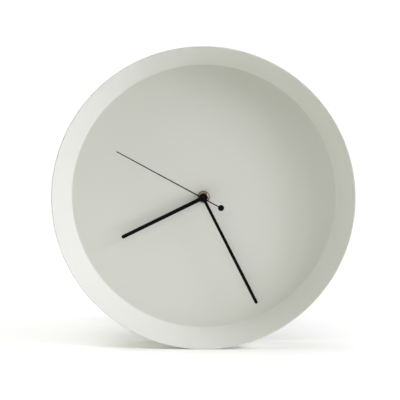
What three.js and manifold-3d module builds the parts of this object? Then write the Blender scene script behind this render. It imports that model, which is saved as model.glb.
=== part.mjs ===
// Wall clock: a deep matt metal bowl with a plain recessed dial, a rear case band, and a quartz
// movement that drives hour, minute and second hands through a real wheel train.
//
// Frame: millimetres, +Z up, the dial faces -Y, +X is to the right of someone reading the clock.
// The origin is on the wall plane, at the top of the hanger slot, where the nail carries the clock.
//
// Everything is drawn in a local frame with its origin on the hand axis at the wall plane:
// x to the right, y up, z from the wall towards the reader. One group turns that into the frame above.

import * as THREE from "three";
import { mergeVertices } from "three/addons/utils/BufferGeometryUtils.js";
import Module from "manifold-3d";

const wasm = await Module();
wasm.setup();

// ---------------------------------------------------------------- driving dimensions

const NAIL_ABOVE_AXIS = 37; // from the hand axis up to the top of the hanger slot

// body shells
const CASE_R = 150; // outer radius of the bowl's rim and of the case band
const CASE_DEPTH = 46; // wall plane to the rim
const SHEET = 1.2; // sheet thickness of both shells
const DIAL_FRONT = 21.5; // height of the dial face above the wall plane
const DIAL_R = 132; // radius of the flat dial, where the flared wall starts
const RIM_BEND = 0.65; // outer radius of the turned-over rim
const LIP_END = 36; // where the bowl's return lip stops
const SEAM = 0.3; // shadow gap between the lip and the case band
const TONGUE_END = 40.8; // how far the band's tongue reaches up inside the lip
const WALL_RING_W = 10; // width of the flat ring that rests on the wall, from the outside of the case
const WALL_RING_COLLAR = 4; // height of the ring's collar inside the band
const SHELL_SEGMENTS = 72;

// fixing stack, from the movement outwards
const MOVE_FRONT = 18.5; // front face of the movement case
const BRACKET_T = 0.9;
const GASKET_T = 0.75;
const GASKET_R = 13;
const DIAL_HOLE_R = 4.15;
const BUSH_R = 3.95;
const BUSH_BORE_R = 2.6;
const BUSH_END = 25.1;
const WASHER_R = 6.1;
const WASHER_T = 0.5;
const NUT_R = 5.25;
const NUT_T = 2.2;
const STACK_GAP = 0.05; // kept between stacked faces

// movement case, in w: the depth behind the movement's front face
const MOVE_HALF_W = 28;
const MOVE_TOP = 22;
const MOVE_BOTTOM = -34;
const CASE_WALL = 1.3;
const FLOOR_T = 1.5;
const TRAY_DEPTH = 14.2;
const COVER_OUT = 15.6;
const DIVIDER_TOP = -15.3;
const DIVIDER_BOTTOM = -16.5;

// hands
const HOUR_ANGLE = 243.9; // degrees clockwise from twelve
const MINUTE_ANGLE = 153.2;
const SECOND_ANGLE = 298.4;
const HOUR_Z = 29.0; // mid-plane heights above the wall
const MINUTE_Z = 33.1;
const SECOND_Z = 37.2;
const HOUR_TIP = 91;
const MINUTE_TIP = 118.5;
const SECOND_TIP = 97.5;
const BLADE_T = 0.5;
const SECOND_T = 0.36;
const COUNTERWEIGHT_AT = 20;
const COUNTERWEIGHT_R = 3.05;

// wheel train: teeth, and modules that give common centre distances
const REVERSE_AT = [8.0, 0]; // motion work: 10:30 and 8:32, module 0.4
const M_MOTION = 0.4;
const A_THIRD = 10.2; // minute wheel to third wheel, and second wheel to third wheel
const M_MINUTE = (2 * A_THIRD) / (45 + 6);
const M_THIRD = (2 * A_THIRD) / (48 + 6);
const M_SECOND = 0.56; // 30:6, centre distance 10.08
const M_ROTOR = 0.32; // 36:6, centre distance 6.72
const THIRD_AT = polar(A_THIRD, 120);
const INTER_AT = polar((M_SECOND * (30 + 6)) / 2, 240);
const ROTOR_AT = [INTER_AT[0] - (M_ROTOR * (36 + 6)) / 2, INTER_AT[1]];
const KNOB_AT = [
  REVERSE_AT[0] + ((M_MOTION * (30 + 12)) / 2) * Math.cos(Math.PI / 6),
  REVERSE_AT[1] + ((M_MOTION * (30 + 12)) / 2) * Math.sin(Math.PI / 6),
];
const PIVOT_R = 0.5;
const PIVOT_HOLE_R = 0.6;

// battery, size AA
const CELL_R = 7.1;
const CELL_L = 49.2;
const CELL_AT = [-24.6, 9.1]; // local y, and w, of its axis

// ---------------------------------------------------------------- helpers

function polar(r, deg) {
  return [r * Math.cos((deg * Math.PI) / 180), r * Math.sin((deg * Math.PI) / 180)];
}
const zOf = (w) => MOVE_FRONT - w; // depth behind the movement's front, as a local height

function solid(geometry) {
  const g = geometry.index ? geometry.toNonIndexed() : geometry.clone();
  g.deleteAttribute("normal");
  g.deleteAttribute("uv");
  const m = mergeVertices(g, 1e-4);
  return new wasm.Manifold(
    new wasm.Mesh({
      numProp: 3,
      vertProperties: m.attributes.position.array,
      triVerts: new Uint32Array(m.index.array),
    }),
  );
}

const vecs = (pts) => pts.map(([x, y]) => new THREE.Vector2(x, y));

// A straight prism over an outline in the xy plane, with optional holes.
function prism(points, z0, z1, holes = []) {
  const shape = new THREE.Shape(vecs(points));
  for (const h of holes) shape.holes.push(new THREE.Path(vecs(h)));
  const g = new THREE.ExtrudeGeometry(shape, { depth: z1 - z0, bevelEnabled: false });
  g.translate(0, 0, z0);
  return g;
}

function circle(r, n, [cx, cy] = [0, 0], turn = 0) {
  return Array.from({ length: n }, (_, i) => {
    const a = turn + (i / n) * 2 * Math.PI;
    return [cx + r * Math.cos(a), cy + r * Math.sin(a)];
  });
}

const disc = (r, z0, z1, n, at) => solid(prism(circle(r, n, at), Math.min(z0, z1), Math.max(z0, z1)));
const tube = (r, bore, z0, z1, n, at) =>
  solid(prism(circle(r, n, at), Math.min(z0, z1), Math.max(z0, z1), [circle(bore, n, at)]));

function rect(x0, y0, x1, y1, r = 0, n = 4) {
  if (!r) return [[x0, y0], [x1, y0], [x1, y1], [x0, y1]];
  const out = [];
  for (const [cx, cy, a0] of [
    [x1 - r, y1 - r, 0],
    [x0 + r, y1 - r, 90],
    [x0 + r, y0 + r, 180],
    [x1 - r, y0 + r, 270],
  ])
    for (let i = 0; i <= n; i++) {
      const a = ((a0 + (90 * i) / n) * Math.PI) / 180;
      out.push([cx + r * Math.cos(a), cy + r * Math.sin(a)]);
    }
  return out;
}
const block = (x0, y0, x1, y1, z0, z1, r = 0) =>
  solid(prism(rect(x0, y0, x1, y1, r), Math.min(z0, z1), Math.max(z0, z1)));

// A turned ring: profile of [radius, height], closed on itself, about the hand axis.
function turned(profile, segments) {
  const g = new THREE.LatheGeometry(vecs([...profile, profile[0]]), segments);
  g.rotateX(Math.PI / 2);
  return solid(g);
}

// Spur gear outline. phase is the direction of one tooth, in radians from +x.
function gearOutline(teeth, m, phase, pinion, [cx, cy] = [0, 0]) {
  const pitch = (2 * Math.PI) / teeth;
  const rp = (m * teeth) / 2;
  const ra = rp + (pinion ? 0.72 : 0.8) * m;
  const rf = rp - (pinion ? 1.15 : 1.1) * m;
  const tip = pinion ? 0.09 : 0.08;
  const root = pinion ? 0.25 : 0.27;
  const pts = [];
  for (let i = 0; i < teeth; i++)
    for (const [r, a] of [[rf, -root], [ra, -tip], [ra, tip], [rf, root]]) {
      const t = phase + (i + a) * pitch;
      pts.push([cx + r * Math.cos(t), cy + r * Math.sin(t)]);
    }
  return pts;
}
// The phase of a gear at b, so that it meshes with one of the given phase at a.
function meshed(a, teethA, phaseA, b, teethB) {
  const theta = Math.atan2(b[1] - a[1], b[0] - a[0]);
  const pa = (2 * Math.PI) / teethA, pb = (2 * Math.PI) / teethB;
  const da = (theta - phaseA) / pa;
  const db = 0.5 - (da - Math.floor(da));
  return theta + Math.PI - db * pb;
}
function gear(teeth, m, phase, pinion, w0, w1, at, bore = 0, boreN = 24) {
  const pts = gearOutline(teeth, m, phase, pinion, at);
  return solid(prism(pts, zOf(w1), zOf(w0), bore ? [circle(bore, boreN, at)] : []));
}
const join = (...parts) => parts.reduce((a, b) => a.add(b));

const clock = new THREE.Group();
const face = new THREE.Group(); // the local frame described above
face.rotation.x = Math.PI / 2;
face.position.z = -NAIL_ABOVE_AXIS;
clock.add(face);

const finish = (color, roughness, metalness) => ({ color, roughness, metalness });
const POWDER = finish(0xdedfd7, 0.55, 0);
const BLACK = finish(0x0c0c0c, 0.5, 0.1);
const BRASS = finish(0x9a8654, 0.35, 1);
const RUBBER = finish(0x161616, 0.9, 0);
const STEEL = finish(0xb4b6b8, 0.35, 1);
const CASE_PLASTIC = finish(0x1b1c1d, 0.5, 0);
const WHITE_POM = finish(0xe9e7df, 0.45, 0);
const BOARD = finish(0x2d5f38, 0.5, 0);
const COPPER = finish(0xb06a3a, 0.35, 1);

function place(name, shape, look, parent = face) {
  const m = shape.getMesh();
  const g = new THREE.BufferGeometry();
  const xyz = new Float32Array(m.numVert * 3);
  for (let i = 0; i < m.numVert; i++)
    xyz.set(m.vertProperties.subarray(i * m.numProp, i * m.numProp + 3), i * 3);
  g.setAttribute("position", new THREE.BufferAttribute(xyz, 3));
  g.setIndex(new THREE.BufferAttribute(new Uint32Array(m.triVerts), 1));
  g.computeVertexNormals();
  const mesh = new THREE.Mesh(g, new THREE.MeshStandardMaterial(look));
  mesh.name = name;
  parent.add(mesh);
  return mesh;
}

// ---------------------------------------------------------------- the two shells

// Front bowl: flat dial, flared wall, turned-over rim and a short return lip, one pressed sheet.
const rimC = [CASE_R - RIM_BEND, CASE_DEPTH - RIM_BEND];
const flareEnd = (() => {
  // where the flared wall runs tangent into the rim bend
  let a = Math.atan2(rimC[0] - DIAL_R, rimC[1] - DIAL_FRONT);
  for (let i = 0; i < 20; i++) {
    const p = [rimC[0] - RIM_BEND * Math.cos(a), rimC[1] + RIM_BEND * Math.sin(a)];
    a = Math.atan2(p[0] - DIAL_R, p[1] - DIAL_FRONT);
  }
  return { a, p: [rimC[0] - RIM_BEND * Math.cos(a), rimC[1] + RIM_BEND * Math.sin(a)] };
})();
const slope = Math.tan(flareEnd.a);
const flareBack = (z) => DIAL_R + (z - DIAL_FRONT) * slope + SHEET / Math.cos(flareEnd.a);
const dialBack = DIAL_FRONT - SHEET;
const lipInner = CASE_R - SHEET;
const crotchZ = DIAL_FRONT + (lipInner - SHEET / Math.cos(flareEnd.a) - DIAL_R) / slope - 0.1;
const bowlProfile = [
  [DIAL_HOLE_R, dialBack],
  [flareBack(dialBack) - 1.3, dialBack],
  [flareBack(dialBack + 1.1), dialBack + 1.1],
  [flareBack(crotchZ), crotchZ],
  [lipInner, crotchZ],
  [lipInner, LIP_END],
  [CASE_R, LIP_END],
  [CASE_R, rimC[1]],
];
for (const deg of [30, 60, 90, 118])
  bowlProfile.push([rimC[0] + RIM_BEND * Math.cos((deg * Math.PI) / 180), rimC[1] + RIM_BEND * Math.sin((deg * Math.PI) / 180)]);
bowlProfile.push(
  flareEnd.p,
  [DIAL_R + 0.95 * slope, DIAL_FRONT + 0.95],
  [DIAL_R - 0.15, DIAL_FRONT + 0.22],
  [DIAL_R - 1.1, DIAL_FRONT],
  [DIAL_HOLE_R, DIAL_FRONT],
);
place("dial_bowl", turned(bowlProfile, SHELL_SEGMENTS), POWDER);

// Case band: the plain outer side behind the rim, rolled strip with a tongue inside the bowl's lip.
const tongueR = lipInner - 0.1;
place(
  "case_band",
  turned(
    [
      [CASE_R - SHEET, 0],
      [CASE_R - 0.5, 0],
      [CASE_R, 0.5],
      [CASE_R, LIP_END - SEAM],
      [tongueR, LIP_END - SEAM],
      [tongueR, TONGUE_END],
      [tongueR - SHEET, TONGUE_END],
      [tongueR - SHEET, LIP_END - 1.2],
      [CASE_R - SHEET, LIP_END - 2.4],
    ],
    SHELL_SEGMENTS,
  ),
  POWDER,
);

// Wall ring: flat ring on the wall, with a low collar spot-welded inside the band.
const collarR = CASE_R - SHEET - 0.1;
place(
  "wall_ring",
  turned(
    [
      [CASE_R - WALL_RING_W, 0],
      [collarR, 0],
      [collarR, WALL_RING_COLLAR],
      [collarR - SHEET, WALL_RING_COLLAR],
      [collarR - SHEET, SHEET],
      [CASE_R - WALL_RING_W, SHEET],
    ],
    SHELL_SEGMENTS,
  ),
  POWDER,
);

// ---------------------------------------------------------------- fixing stack

// Z-bent steel bracket, clamped behind the dial, whose tab hangs on the nail above the movement.
const b0 = MOVE_FRONT + STACK_GAP;
const b1 = b0 + BRACKET_T;
const tabZ0 = 1.3, tabZ1 = tabZ0 + BRACKET_T;
const shelfY = MOVE_TOP + 0.3;
const bracketSide = new THREE.Shape(
  vecs([
    [-9, b0],
    [shelfY, b0],
    [shelfY, tabZ0],
    [NAIL_ABOVE_AXIS + 5, tabZ0],
    [NAIL_ABOVE_AXIS + 5, tabZ1],
    [shelfY + BRACKET_T, tabZ1],
    [shelfY + BRACKET_T, b1],
    [-9, b1],
  ]),
);
const bracketG = new THREE.ExtrudeGeometry(bracketSide, { depth: 22, bevelEnabled: false });
// outline (y, z) extruded along x
bracketG.applyMatrix4(new THREE.Matrix4().set(0, 0, 1, -11, 1, 0, 0, 0, 0, 1, 0, 0, 0, 0, 0, 1));
const slotTop = NAIL_ABOVE_AXIS;
const keyhole = join(
  disc(5, tabZ0 - 1, tabZ1 + 1, 20, [0, slotTop - 8]),
  block(-2.5, slotTop - 8, 2.5, slotTop - 2.5, tabZ0 - 1, tabZ1 + 1),
  disc(2.5, tabZ0 - 1, tabZ1 + 1, 20, [0, slotTop - 2.5]),
);
place(
  "hanger_bracket",
  solid(bracketG).subtract(disc(4.2, b0 - 1, b1 + 1, 24)).subtract(keyhole),
  STEEL,
);

const g0 = b1 + STACK_GAP;
place("rubber_gasket", tube(GASKET_R, 4.2, g0, g0 + GASKET_T, 32), RUBBER);
const w0 = DIAL_FRONT + STACK_GAP;
place("brass_washer", tube(WASHER_R, 4.05, w0, w0 + WASHER_T, 32), BRASS);
const n0 = w0 + WASHER_T + STACK_GAP;
place(
  "centre_nut",
  turned(
    [
      [4.05, n0],
      [NUT_R, n0],
      [NUT_R, n0 + NUT_T - 0.5],
      [NUT_R - 0.5, n0 + NUT_T],
      [4.05, n0 + NUT_T],
    ],
    24,
  ),
  BRASS,
);
place(
  "threaded_bush",
  turned(
    [
      [BUSH_BORE_R, zOf(2.3)],
      [5.0, zOf(2.3)],
      [5.0, zOf(1.55)],
      [BUSH_R, zOf(1.55)],
      [BUSH_R, BUSH_END - 0.3],
      [BUSH_R - 0.3, BUSH_END],
      [BUSH_BORE_R, BUSH_END],
    ],
    24,
  ),
  BRASS,
);

// ---------------------------------------------------------------- movement case

const POSTS = [[7.5, 14], [2.8, -13.4], [-15.6, 17.6]]; // carry the gear bridge
const PEGS = [[23.5, -6.2], [8.2, -13.4]]; // carry the circuit board
let tray = block(-MOVE_HALF_W, MOVE_BOTTOM, MOVE_HALF_W, MOVE_TOP, zOf(0), zOf(TRAY_DEPTH), 3);
const inner = MOVE_HALF_W - CASE_WALL;
tray = tray
  .subtract(block(-inner, DIVIDER_TOP, inner, MOVE_TOP - CASE_WALL, zOf(FLOOR_T), zOf(TRAY_DEPTH + 1), 1.7))
  .subtract(block(-inner, MOVE_BOTTOM + CASE_WALL, inner, DIVIDER_BOTTOM, zOf(FLOOR_T), zOf(TRAY_DEPTH + 1), 1.7))
  .subtract(disc(4.1, zOf(-1), zOf(FLOOR_T + 1), 24));
for (const p of POSTS) tray = tray.add(disc(1.2, zOf(1), zOf(13.05), 12, p));
for (const p of PEGS) tray = tray.add(disc(1.4, zOf(1), zOf(7.95), 12, p)).add(disc(0.6, zOf(7), zOf(9.5), 8, p));
tray = tray.add(disc(PIVOT_R, zOf(1), zOf(5.7), 12, REVERSE_AT)); // fixed post of the reverse wheel
for (const p of [THIRD_AT, INTER_AT, ROTOR_AT]) tray = tray.subtract(disc(PIVOT_HOLE_R, zOf(0.4), zOf(FLOOR_T + 0.5), 12, p));
tray = tray.subtract(disc(0.7, zOf(0.4), zOf(FLOOR_T + 0.5), 12, KNOB_AT));
place("movement_front_case", tray, CASE_PLASTIC);

let cover = block(-MOVE_HALF_W, DIVIDER_BOTTOM - 0.1, MOVE_HALF_W, MOVE_TOP, zOf(TRAY_DEPTH + 0.1), zOf(COVER_OUT), 2)
  .add(block(-26.4, 3, -25.2, 8, zOf(13), zOf(TRAY_DEPTH + 0.5)))
  .add(block(25.2, -12, 26.4, -7, zOf(13), zOf(TRAY_DEPTH + 0.5)))
  .add(block(-4, 19.2, 4, 20.4, zOf(13.95), zOf(TRAY_DEPTH + 0.5)))
  .subtract(disc(1.25, zOf(12), zOf(17), 16, KNOB_AT));
place("movement_back_cover", cover, CASE_PLASTIC);

let bridge = solid(
  prism(
    [
      [9.4, 15.7], [-14.2, 19.1], [-17.2, 19.1], [-17.2, 15.6], [-10, 7], [-10, -5.4], [-14.1, -6.6],
      [-14.1, -10.9], [-3.2, -10.9], [0.9, -15], [4.6, -15], [4.6, -4], [9.4, 11.6],
    ].reverse(),
    zOf(13.9),
    zOf(13.1),
  ),
);
for (const p of [[0, 0], THIRD_AT, INTER_AT, ROTOR_AT]) bridge = bridge.subtract(disc(PIVOT_HOLE_R, zOf(12), zOf(15), 12, p));
place("gear_bridge", bridge, WHITE_POM);

// ---------------------------------------------------------------- electronics

let board = block(5.6, -15.1, 25.9, -4.2, zOf(8.0), zOf(9.0), 0.6);
for (const p of PEGS) board = board.subtract(disc(0.75, zOf(7), zOf(10), 12, p));
place("circuit_board", board, BOARD);
place(
  "driver_chip",
  solid(
    new THREE.LatheGeometry(vecs([[0, 0], [2.6, 0], [2.3, 0.6], [1.3, 1.0], [0, 1.1]]), 16)
      .rotateX(-Math.PI / 2)
      .translate(14.2, -9.3, zOf(9.05)),
  ),
  finish(0x101010, 0.4, 0),
);
place(
  "quartz_crystal",
  solid(new THREE.CylinderGeometry(1, 1, 6.2, 12).rotateZ(Math.PI / 2).translate(20.6, -12.6, zOf(10.1))),
  STEEL,
);

// Stator of the stepping motor: left leg to the lower pole, coil leg to the upper pole, joined by
// narrow necks beside the rotor hole.
const ry = ROTOR_AT[1], rx = ROTOR_AT[0];
let stator = solid(
  prism(
    [
      [-26, -14.2], [-7.2, -14.2], [-7.2, -3.2], [-18.5, -3.2], [-18.5, 18.4], [-26, 18.4],
    ],
    zOf(9.6),
    zOf(8.6),
  ),
)
  .subtract(block(-24, ry - 0.6, -20.7, 16.2, zOf(8), zOf(10)))
  .subtract(block(-21, ry - 0.6, rx - 4.1, ry + 0.6, zOf(8), zOf(10)))
  .subtract(disc(3.5, zOf(8), zOf(10), 24, ROTOR_AT));
place("stator_plate", stator, STEEL);

const coilX = -19.6, coilW = 9.1;
const coilRing = (half, halfBoreX, halfBoreW, y0, y1) => {
  const s = prism(
    rect(-half, -half, half, half, 0.9, 2),
    y0,
    y1,
    [rect(-halfBoreX, -halfBoreW, halfBoreX, halfBoreW)],
  );
  // drawn along z, turned to run along y
  s.applyMatrix4(new THREE.Matrix4().set(1, 0, 0, coilX, 0, 0, 1, 0, 0, -1, 0, zOf(coilW), 0, 0, 0, 1));
  return solid(s);
};
place(
  "coil_bobbin",
  join(coilRing(3.4, 1.25, 0.65, -2.6, -1.8), coilRing(3.4, 1.25, 0.65, 14.9, 15.7), coilRing(1.7, 1.25, 0.65, -2.2, 15.3)),
  WHITE_POM,
);
place("coil_winding", coilRing(3.0, 1.85, 1.85, -1.7, 14.8), COPPER);

const cellY = CELL_AT[0];
place(
  "battery_contact_plus",
  join(
    block(26.2, cellY - 4, 26.5, cellY + 4, zOf(1.6), zOf(13.4)),
    block(23.4, cellY - 4, 26.4, cellY + 4, zOf(1.6), zOf(1.85)),
  ),
  STEEL,
);
const leaf = new THREE.Shape(
  vecs([
    [-26.5, zOf(1.6)], [-23.6, zOf(1.6)], [-23.6, zOf(1.85)], [-26.2, zOf(1.85)], [-26.2, zOf(6.6)], [-25.2, zOf(9.1)],
    [-26.2, zOf(11.6)], [-26.2, zOf(13.4)], [-26.5, zOf(13.4)], [-26.5, zOf(11.6)], [-25.5, zOf(9.1)], [-26.5, zOf(6.6)],
  ].reverse()),
);
place(
  "battery_contact_minus",
  solid(
    new THREE.ExtrudeGeometry(leaf, { depth: 7, bevelEnabled: false }).applyMatrix4(
      new THREE.Matrix4().set(1, 0, 0, 0, 0, 0, -1, cellY + 3.5, 0, 1, 0, 0, 0, 0, 0, 1),
    ),
  ),
  STEEL,
);
place(
  "battery",
  solid(
    new THREE.LatheGeometry(
      vecs([
        [0, -CELL_L / 2], [CELL_R - 0.6, -CELL_L / 2], [CELL_R, -CELL_L / 2 + 0.6], [CELL_R, CELL_L / 2 - 0.9],
        [CELL_R - 0.9, CELL_L / 2], [2.7, CELL_L / 2], [2.7, CELL_L / 2 + 1.0], [2.4, CELL_L / 2 + 1.3], [0, CELL_L / 2 + 1.3],
      ]),
      24,
    )
      .rotateZ(-Math.PI / 2)
      .translate(0, cellY, zOf(CELL_AT[1])),
  ),
  finish(0x2f4f3a, 0.35, 0.3),
);

// ---------------------------------------------------------------- wheel train

// Phases: one gear of each mesh is set, and the other follows from it.
const O = [0, 0];
const cannonPhase = 0;
const reversePhase = meshed(O, 10, cannonPhase, REVERSE_AT, 30);
const knobPhase = meshed(REVERSE_AT, 30, reversePhase, KNOB_AT, 12);
const hourPhase = 0;
const reversePinionPhase = meshed(O, 32, hourPhase, REVERSE_AT, 8);
const minutePhase = 0;
const thirdPinionPhase = meshed(O, 45, minutePhase, THIRD_AT, 6);
const secondPinionPhase = 0;
const thirdPhase = meshed(O, 6, secondPinionPhase, THIRD_AT, 48);
const secondPhase = 0;
const interPinionPhase = meshed(O, 30, secondPhase, INTER_AT, 6);
const rotorPinionPhase = 0;
const interPhase = meshed(ROTOR_AT, 6, rotorPinionPhase, INTER_AT, 36);

const arbor = (r, w0, w1, at, n = 12) => disc(r, zOf(w0), zOf(w1), n, at);

place(
  "rotor_pinion",
  join(arbor(0.42, 0.5, 13.8, ROTOR_AT), gear(6, M_ROTOR, rotorPinionPhase, true, 11.5, 12.8, ROTOR_AT)),
  WHITE_POM,
);
place("rotor_magnet", tube(3.0, 0.6, zOf(7.6), zOf(10.6), 24, ROTOR_AT), finish(0x3a3a3d, 0.4, 0.8));
place(
  "intermediate_wheel",
  join(
    arbor(PIVOT_R, 0.5, 13.8, INTER_AT),
    gear(6, M_SECOND, interPinionPhase, true, 9.8, 12.0, INTER_AT),
    gear(36, M_ROTOR, interPhase, false, 11.8, 12.6, INTER_AT),
  ),
  WHITE_POM,
);
place(
  "third_wheel",
  join(
    arbor(PIVOT_R, 0.5, 13.8, THIRD_AT),
    gear(6, M_MINUTE, thirdPinionPhase, true, 5.8, 8.4, THIRD_AT),
    gear(48, M_THIRD, thirdPhase, false, 8.2, 9.2, THIRD_AT),
  ),
  WHITE_POM,
);
place(
  "second_wheel",
  join(
    disc(PIVOT_R, zOf(13.8), SECOND_Z - 0.2, 12),
    gear(6, M_THIRD, secondPinionPhase, true, 8.0, 10.3, O),
    gear(30, M_SECOND, secondPhase, false, 10.1, 11.0, O),
  ),
  WHITE_POM,
);
place("minute_wheel", gear(45, M_MINUTE, minutePhase, false, 6.2, 7.2, O, 2.02), WHITE_POM);
const cannonBore = 0.75;
place(
  "cannon_pinion",
  join(
    tube(1.6, cannonBore, zOf(7.6), MINUTE_Z + 0.9, 24),
    gear(10, M_MOTION, cannonPhase, true, 4.1, 5.8, O, 1.2),
    tube(2.7, 1.2, zOf(5.6), zOf(6.1), 24),
    tube(1.9, 1.2, zOf(6.0), zOf(7.6), 24),
  ),
  STEEL,
);
place(
  "reverse_wheel",
  join(
    gear(8, M_MOTION, reversePinionPhase, true, 2.4, 4.5, REVERSE_AT, PIVOT_HOLE_R, 12),
    gear(30, M_MOTION, reversePhase, false, 4.3, 5.3, REVERSE_AT, PIVOT_HOLE_R, 12),
  ),
  WHITE_POM,
);
place(
  "hour_wheel",
  join(
    gear(32, M_MOTION, hourPhase, false, 2.6, 3.6, O, 1.7),
    tube(2.5, 1.7, zOf(3.6), HOUR_Z + 0.9, 24),
  ),
  STEEL,
);

// Setting knob on the back: knurled disc, stem through the cover, pinion on the reverse wheel.
const knurl = [];
for (let i = 0; i < 24; i++)
  for (const [r, a] of [[6, -0.28], [6, 0.28], [5.5, 0.5]]) {
    const t = ((i + a) / 24) * 2 * Math.PI;
    knurl.push([KNOB_AT[0] + r * Math.cos(t), KNOB_AT[1] + r * Math.sin(t)]);
  }
place(
  "setting_knob",
  join(
    solid(prism(knurl, zOf(17.9), zOf(15.9))),
    arbor(1.05, 1.7, 16.2, KNOB_AT, 16),
    arbor(0.55, 0.5, 2.0, KNOB_AT),
    gear(12, M_MOTION, knobPhase, true, 4.1, 5.6, KNOB_AT),
  ),
  CASE_PLASTIC,
);

// ---------------------------------------------------------------- hands

// A hand points along +y and is turned clockwise about the hand axis. The turn is baked in groups.
function hand(name, parts, angle) {
  const g = new THREE.Group();
  g.rotation.z = (-angle * Math.PI) / 180;
  face.add(g);
  place(name, join(...parts), BLACK, g);
}
// A blade from the hub to a round tip.
function blade(tipAt, halfHub, halfTip, z, t) {
  const cy = tipAt - halfTip;
  const pts = [[halfHub, 0], [halfTip, cy]];
  for (const deg of [22.5, 45, 67.5, 90, 112.5, 135, 157.5])
    pts.push([halfTip * Math.cos((deg * Math.PI) / 180), cy + halfTip * Math.sin((deg * Math.PI) / 180)]);
  pts.push([-halfTip, cy], [-halfHub, 0]);
  return solid(prism(pts, z - t / 2, z + t / 2));
}
const ring = (r, bore, z0, z1, n = 32) => solid(prism(circle(r, n), z0, z1, [circle(bore, n)]));

const hourBore = 2.56, minuteBore = 1.66, secondBore = 0.56;
hand(
  "hour_hand",
  [
    blade(HOUR_TIP, 2.0, 1.8, HOUR_Z, BLADE_T).subtract(disc(3, HOUR_Z - 2, HOUR_Z + 2, 32)),
    ring(4.1, hourBore, HOUR_Z - BLADE_T / 2, HOUR_Z + BLADE_T / 2),
    ring(3.5, hourBore, HOUR_Z - 1.6, HOUR_Z),
  ],
  HOUR_ANGLE,
);
hand(
  "minute_hand",
  [
    blade(MINUTE_TIP, 1.45, 1.6, MINUTE_Z, BLADE_T).subtract(disc(3, MINUTE_Z - 2, MINUTE_Z + 2, 32)),
    ring(4.0, minuteBore, MINUTE_Z - BLADE_T / 2, MINUTE_Z + BLADE_T / 2),
    ring(2.6, minuteBore, MINUTE_Z - 1.7, MINUTE_Z),
  ],
  MINUTE_ANGLE,
);
const tail = block(-0.55, -COUNTERWEIGHT_AT, 0.55, -1.0, SECOND_Z - SECOND_T / 2, SECOND_Z + SECOND_T / 2);
hand(
  "second_hand",
  [
    blade(SECOND_TIP, 0.6, 0.5, SECOND_Z, SECOND_T).subtract(disc(1.2, SECOND_Z - 2, SECOND_Z + 2, 24)),
    tail,
    disc(COUNTERWEIGHT_R, SECOND_Z - SECOND_T / 2, SECOND_Z + SECOND_T / 2, 24, [0, -COUNTERWEIGHT_AT]),
    disc(1.5, SECOND_Z - 2.2, SECOND_Z + 0.6, 24).subtract(disc(secondBore, SECOND_Z - 3, SECOND_Z, 24)),
  ],
  SECOND_ANGLE,
);

export default clock;
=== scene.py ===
import math

import bmesh
import bpy
import numpy as np
from mathutils import Matrix, Vector, geometry


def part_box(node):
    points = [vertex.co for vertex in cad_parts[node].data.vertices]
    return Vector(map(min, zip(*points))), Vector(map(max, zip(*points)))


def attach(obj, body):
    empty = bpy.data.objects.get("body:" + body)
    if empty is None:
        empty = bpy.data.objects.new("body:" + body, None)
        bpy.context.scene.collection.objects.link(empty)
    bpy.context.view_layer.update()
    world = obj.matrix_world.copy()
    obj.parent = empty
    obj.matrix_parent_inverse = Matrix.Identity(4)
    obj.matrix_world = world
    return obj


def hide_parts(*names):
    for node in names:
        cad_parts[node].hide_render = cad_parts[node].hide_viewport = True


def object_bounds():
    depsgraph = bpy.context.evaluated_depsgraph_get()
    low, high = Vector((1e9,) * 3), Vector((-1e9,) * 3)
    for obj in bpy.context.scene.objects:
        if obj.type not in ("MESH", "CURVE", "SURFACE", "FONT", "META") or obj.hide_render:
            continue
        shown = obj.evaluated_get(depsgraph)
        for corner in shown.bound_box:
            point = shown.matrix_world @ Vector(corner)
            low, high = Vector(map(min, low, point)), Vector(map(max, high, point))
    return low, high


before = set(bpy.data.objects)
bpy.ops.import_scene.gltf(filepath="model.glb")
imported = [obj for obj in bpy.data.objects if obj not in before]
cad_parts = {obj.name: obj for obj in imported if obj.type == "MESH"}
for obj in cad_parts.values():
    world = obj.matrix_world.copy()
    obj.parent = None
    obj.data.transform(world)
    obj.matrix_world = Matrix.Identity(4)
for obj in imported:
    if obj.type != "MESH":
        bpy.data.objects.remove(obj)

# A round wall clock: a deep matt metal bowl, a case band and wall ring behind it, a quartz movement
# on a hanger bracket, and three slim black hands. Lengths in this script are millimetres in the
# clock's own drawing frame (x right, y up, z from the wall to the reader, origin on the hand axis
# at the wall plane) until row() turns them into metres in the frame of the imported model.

CAD_LO, CAD_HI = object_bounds()
PI = math.pi

# ---------------------------------------------------------------- where the CAD puts things

_lo, _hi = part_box("centre_nut")
AX, AZ = (_lo.x + _hi.x) / 2, (_lo.z + _hi.z) / 2  # the hand axis
WALL = CAD_HI.y  # the wall plane


def row(p):
    p = np.asarray(p, float).reshape(-1, 3)
    return np.c_[AX + p[:, 0] / 1000, WALL - p[:, 2] / 1000, AZ + p[:, 1] / 1000]


def span(node):
    """Lowest and highest corner of a CAD node in the drawing frame, in millimetres."""
    lo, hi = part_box(node)
    return (
        np.array([(lo.x - AX) * 1000, (lo.z - AZ) * 1000, (WALL - hi.y) * 1000]),
        np.array([(hi.x - AX) * 1000, (hi.z - AZ) * 1000, (WALL - lo.y) * 1000]),
    )


CASE_R = (CAD_HI.x - CAD_LO.x) * 500
CASE_DEPTH = (WALL - CAD_LO.y) * 1000
DIAL_BACK = span("dial_bowl")[0][2]
SHEET = 1.2
DIAL_FRONT = DIAL_BACK + SHEET
DIAL_R = 132.0
RIM_BEND = 0.65
LIP_END = 36.0
SEAM = 0.3
TONGUE_END = span("case_band")[1][2]
RING_W = 10.0
RING_COLLAR = span("wall_ring")[1][2]
MOVE_FRONT = span("movement_front_case")[1][2]


def zof(w):
    return MOVE_FRONT - w


# ---------------------------------------------------------------- mesh kernel


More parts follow.
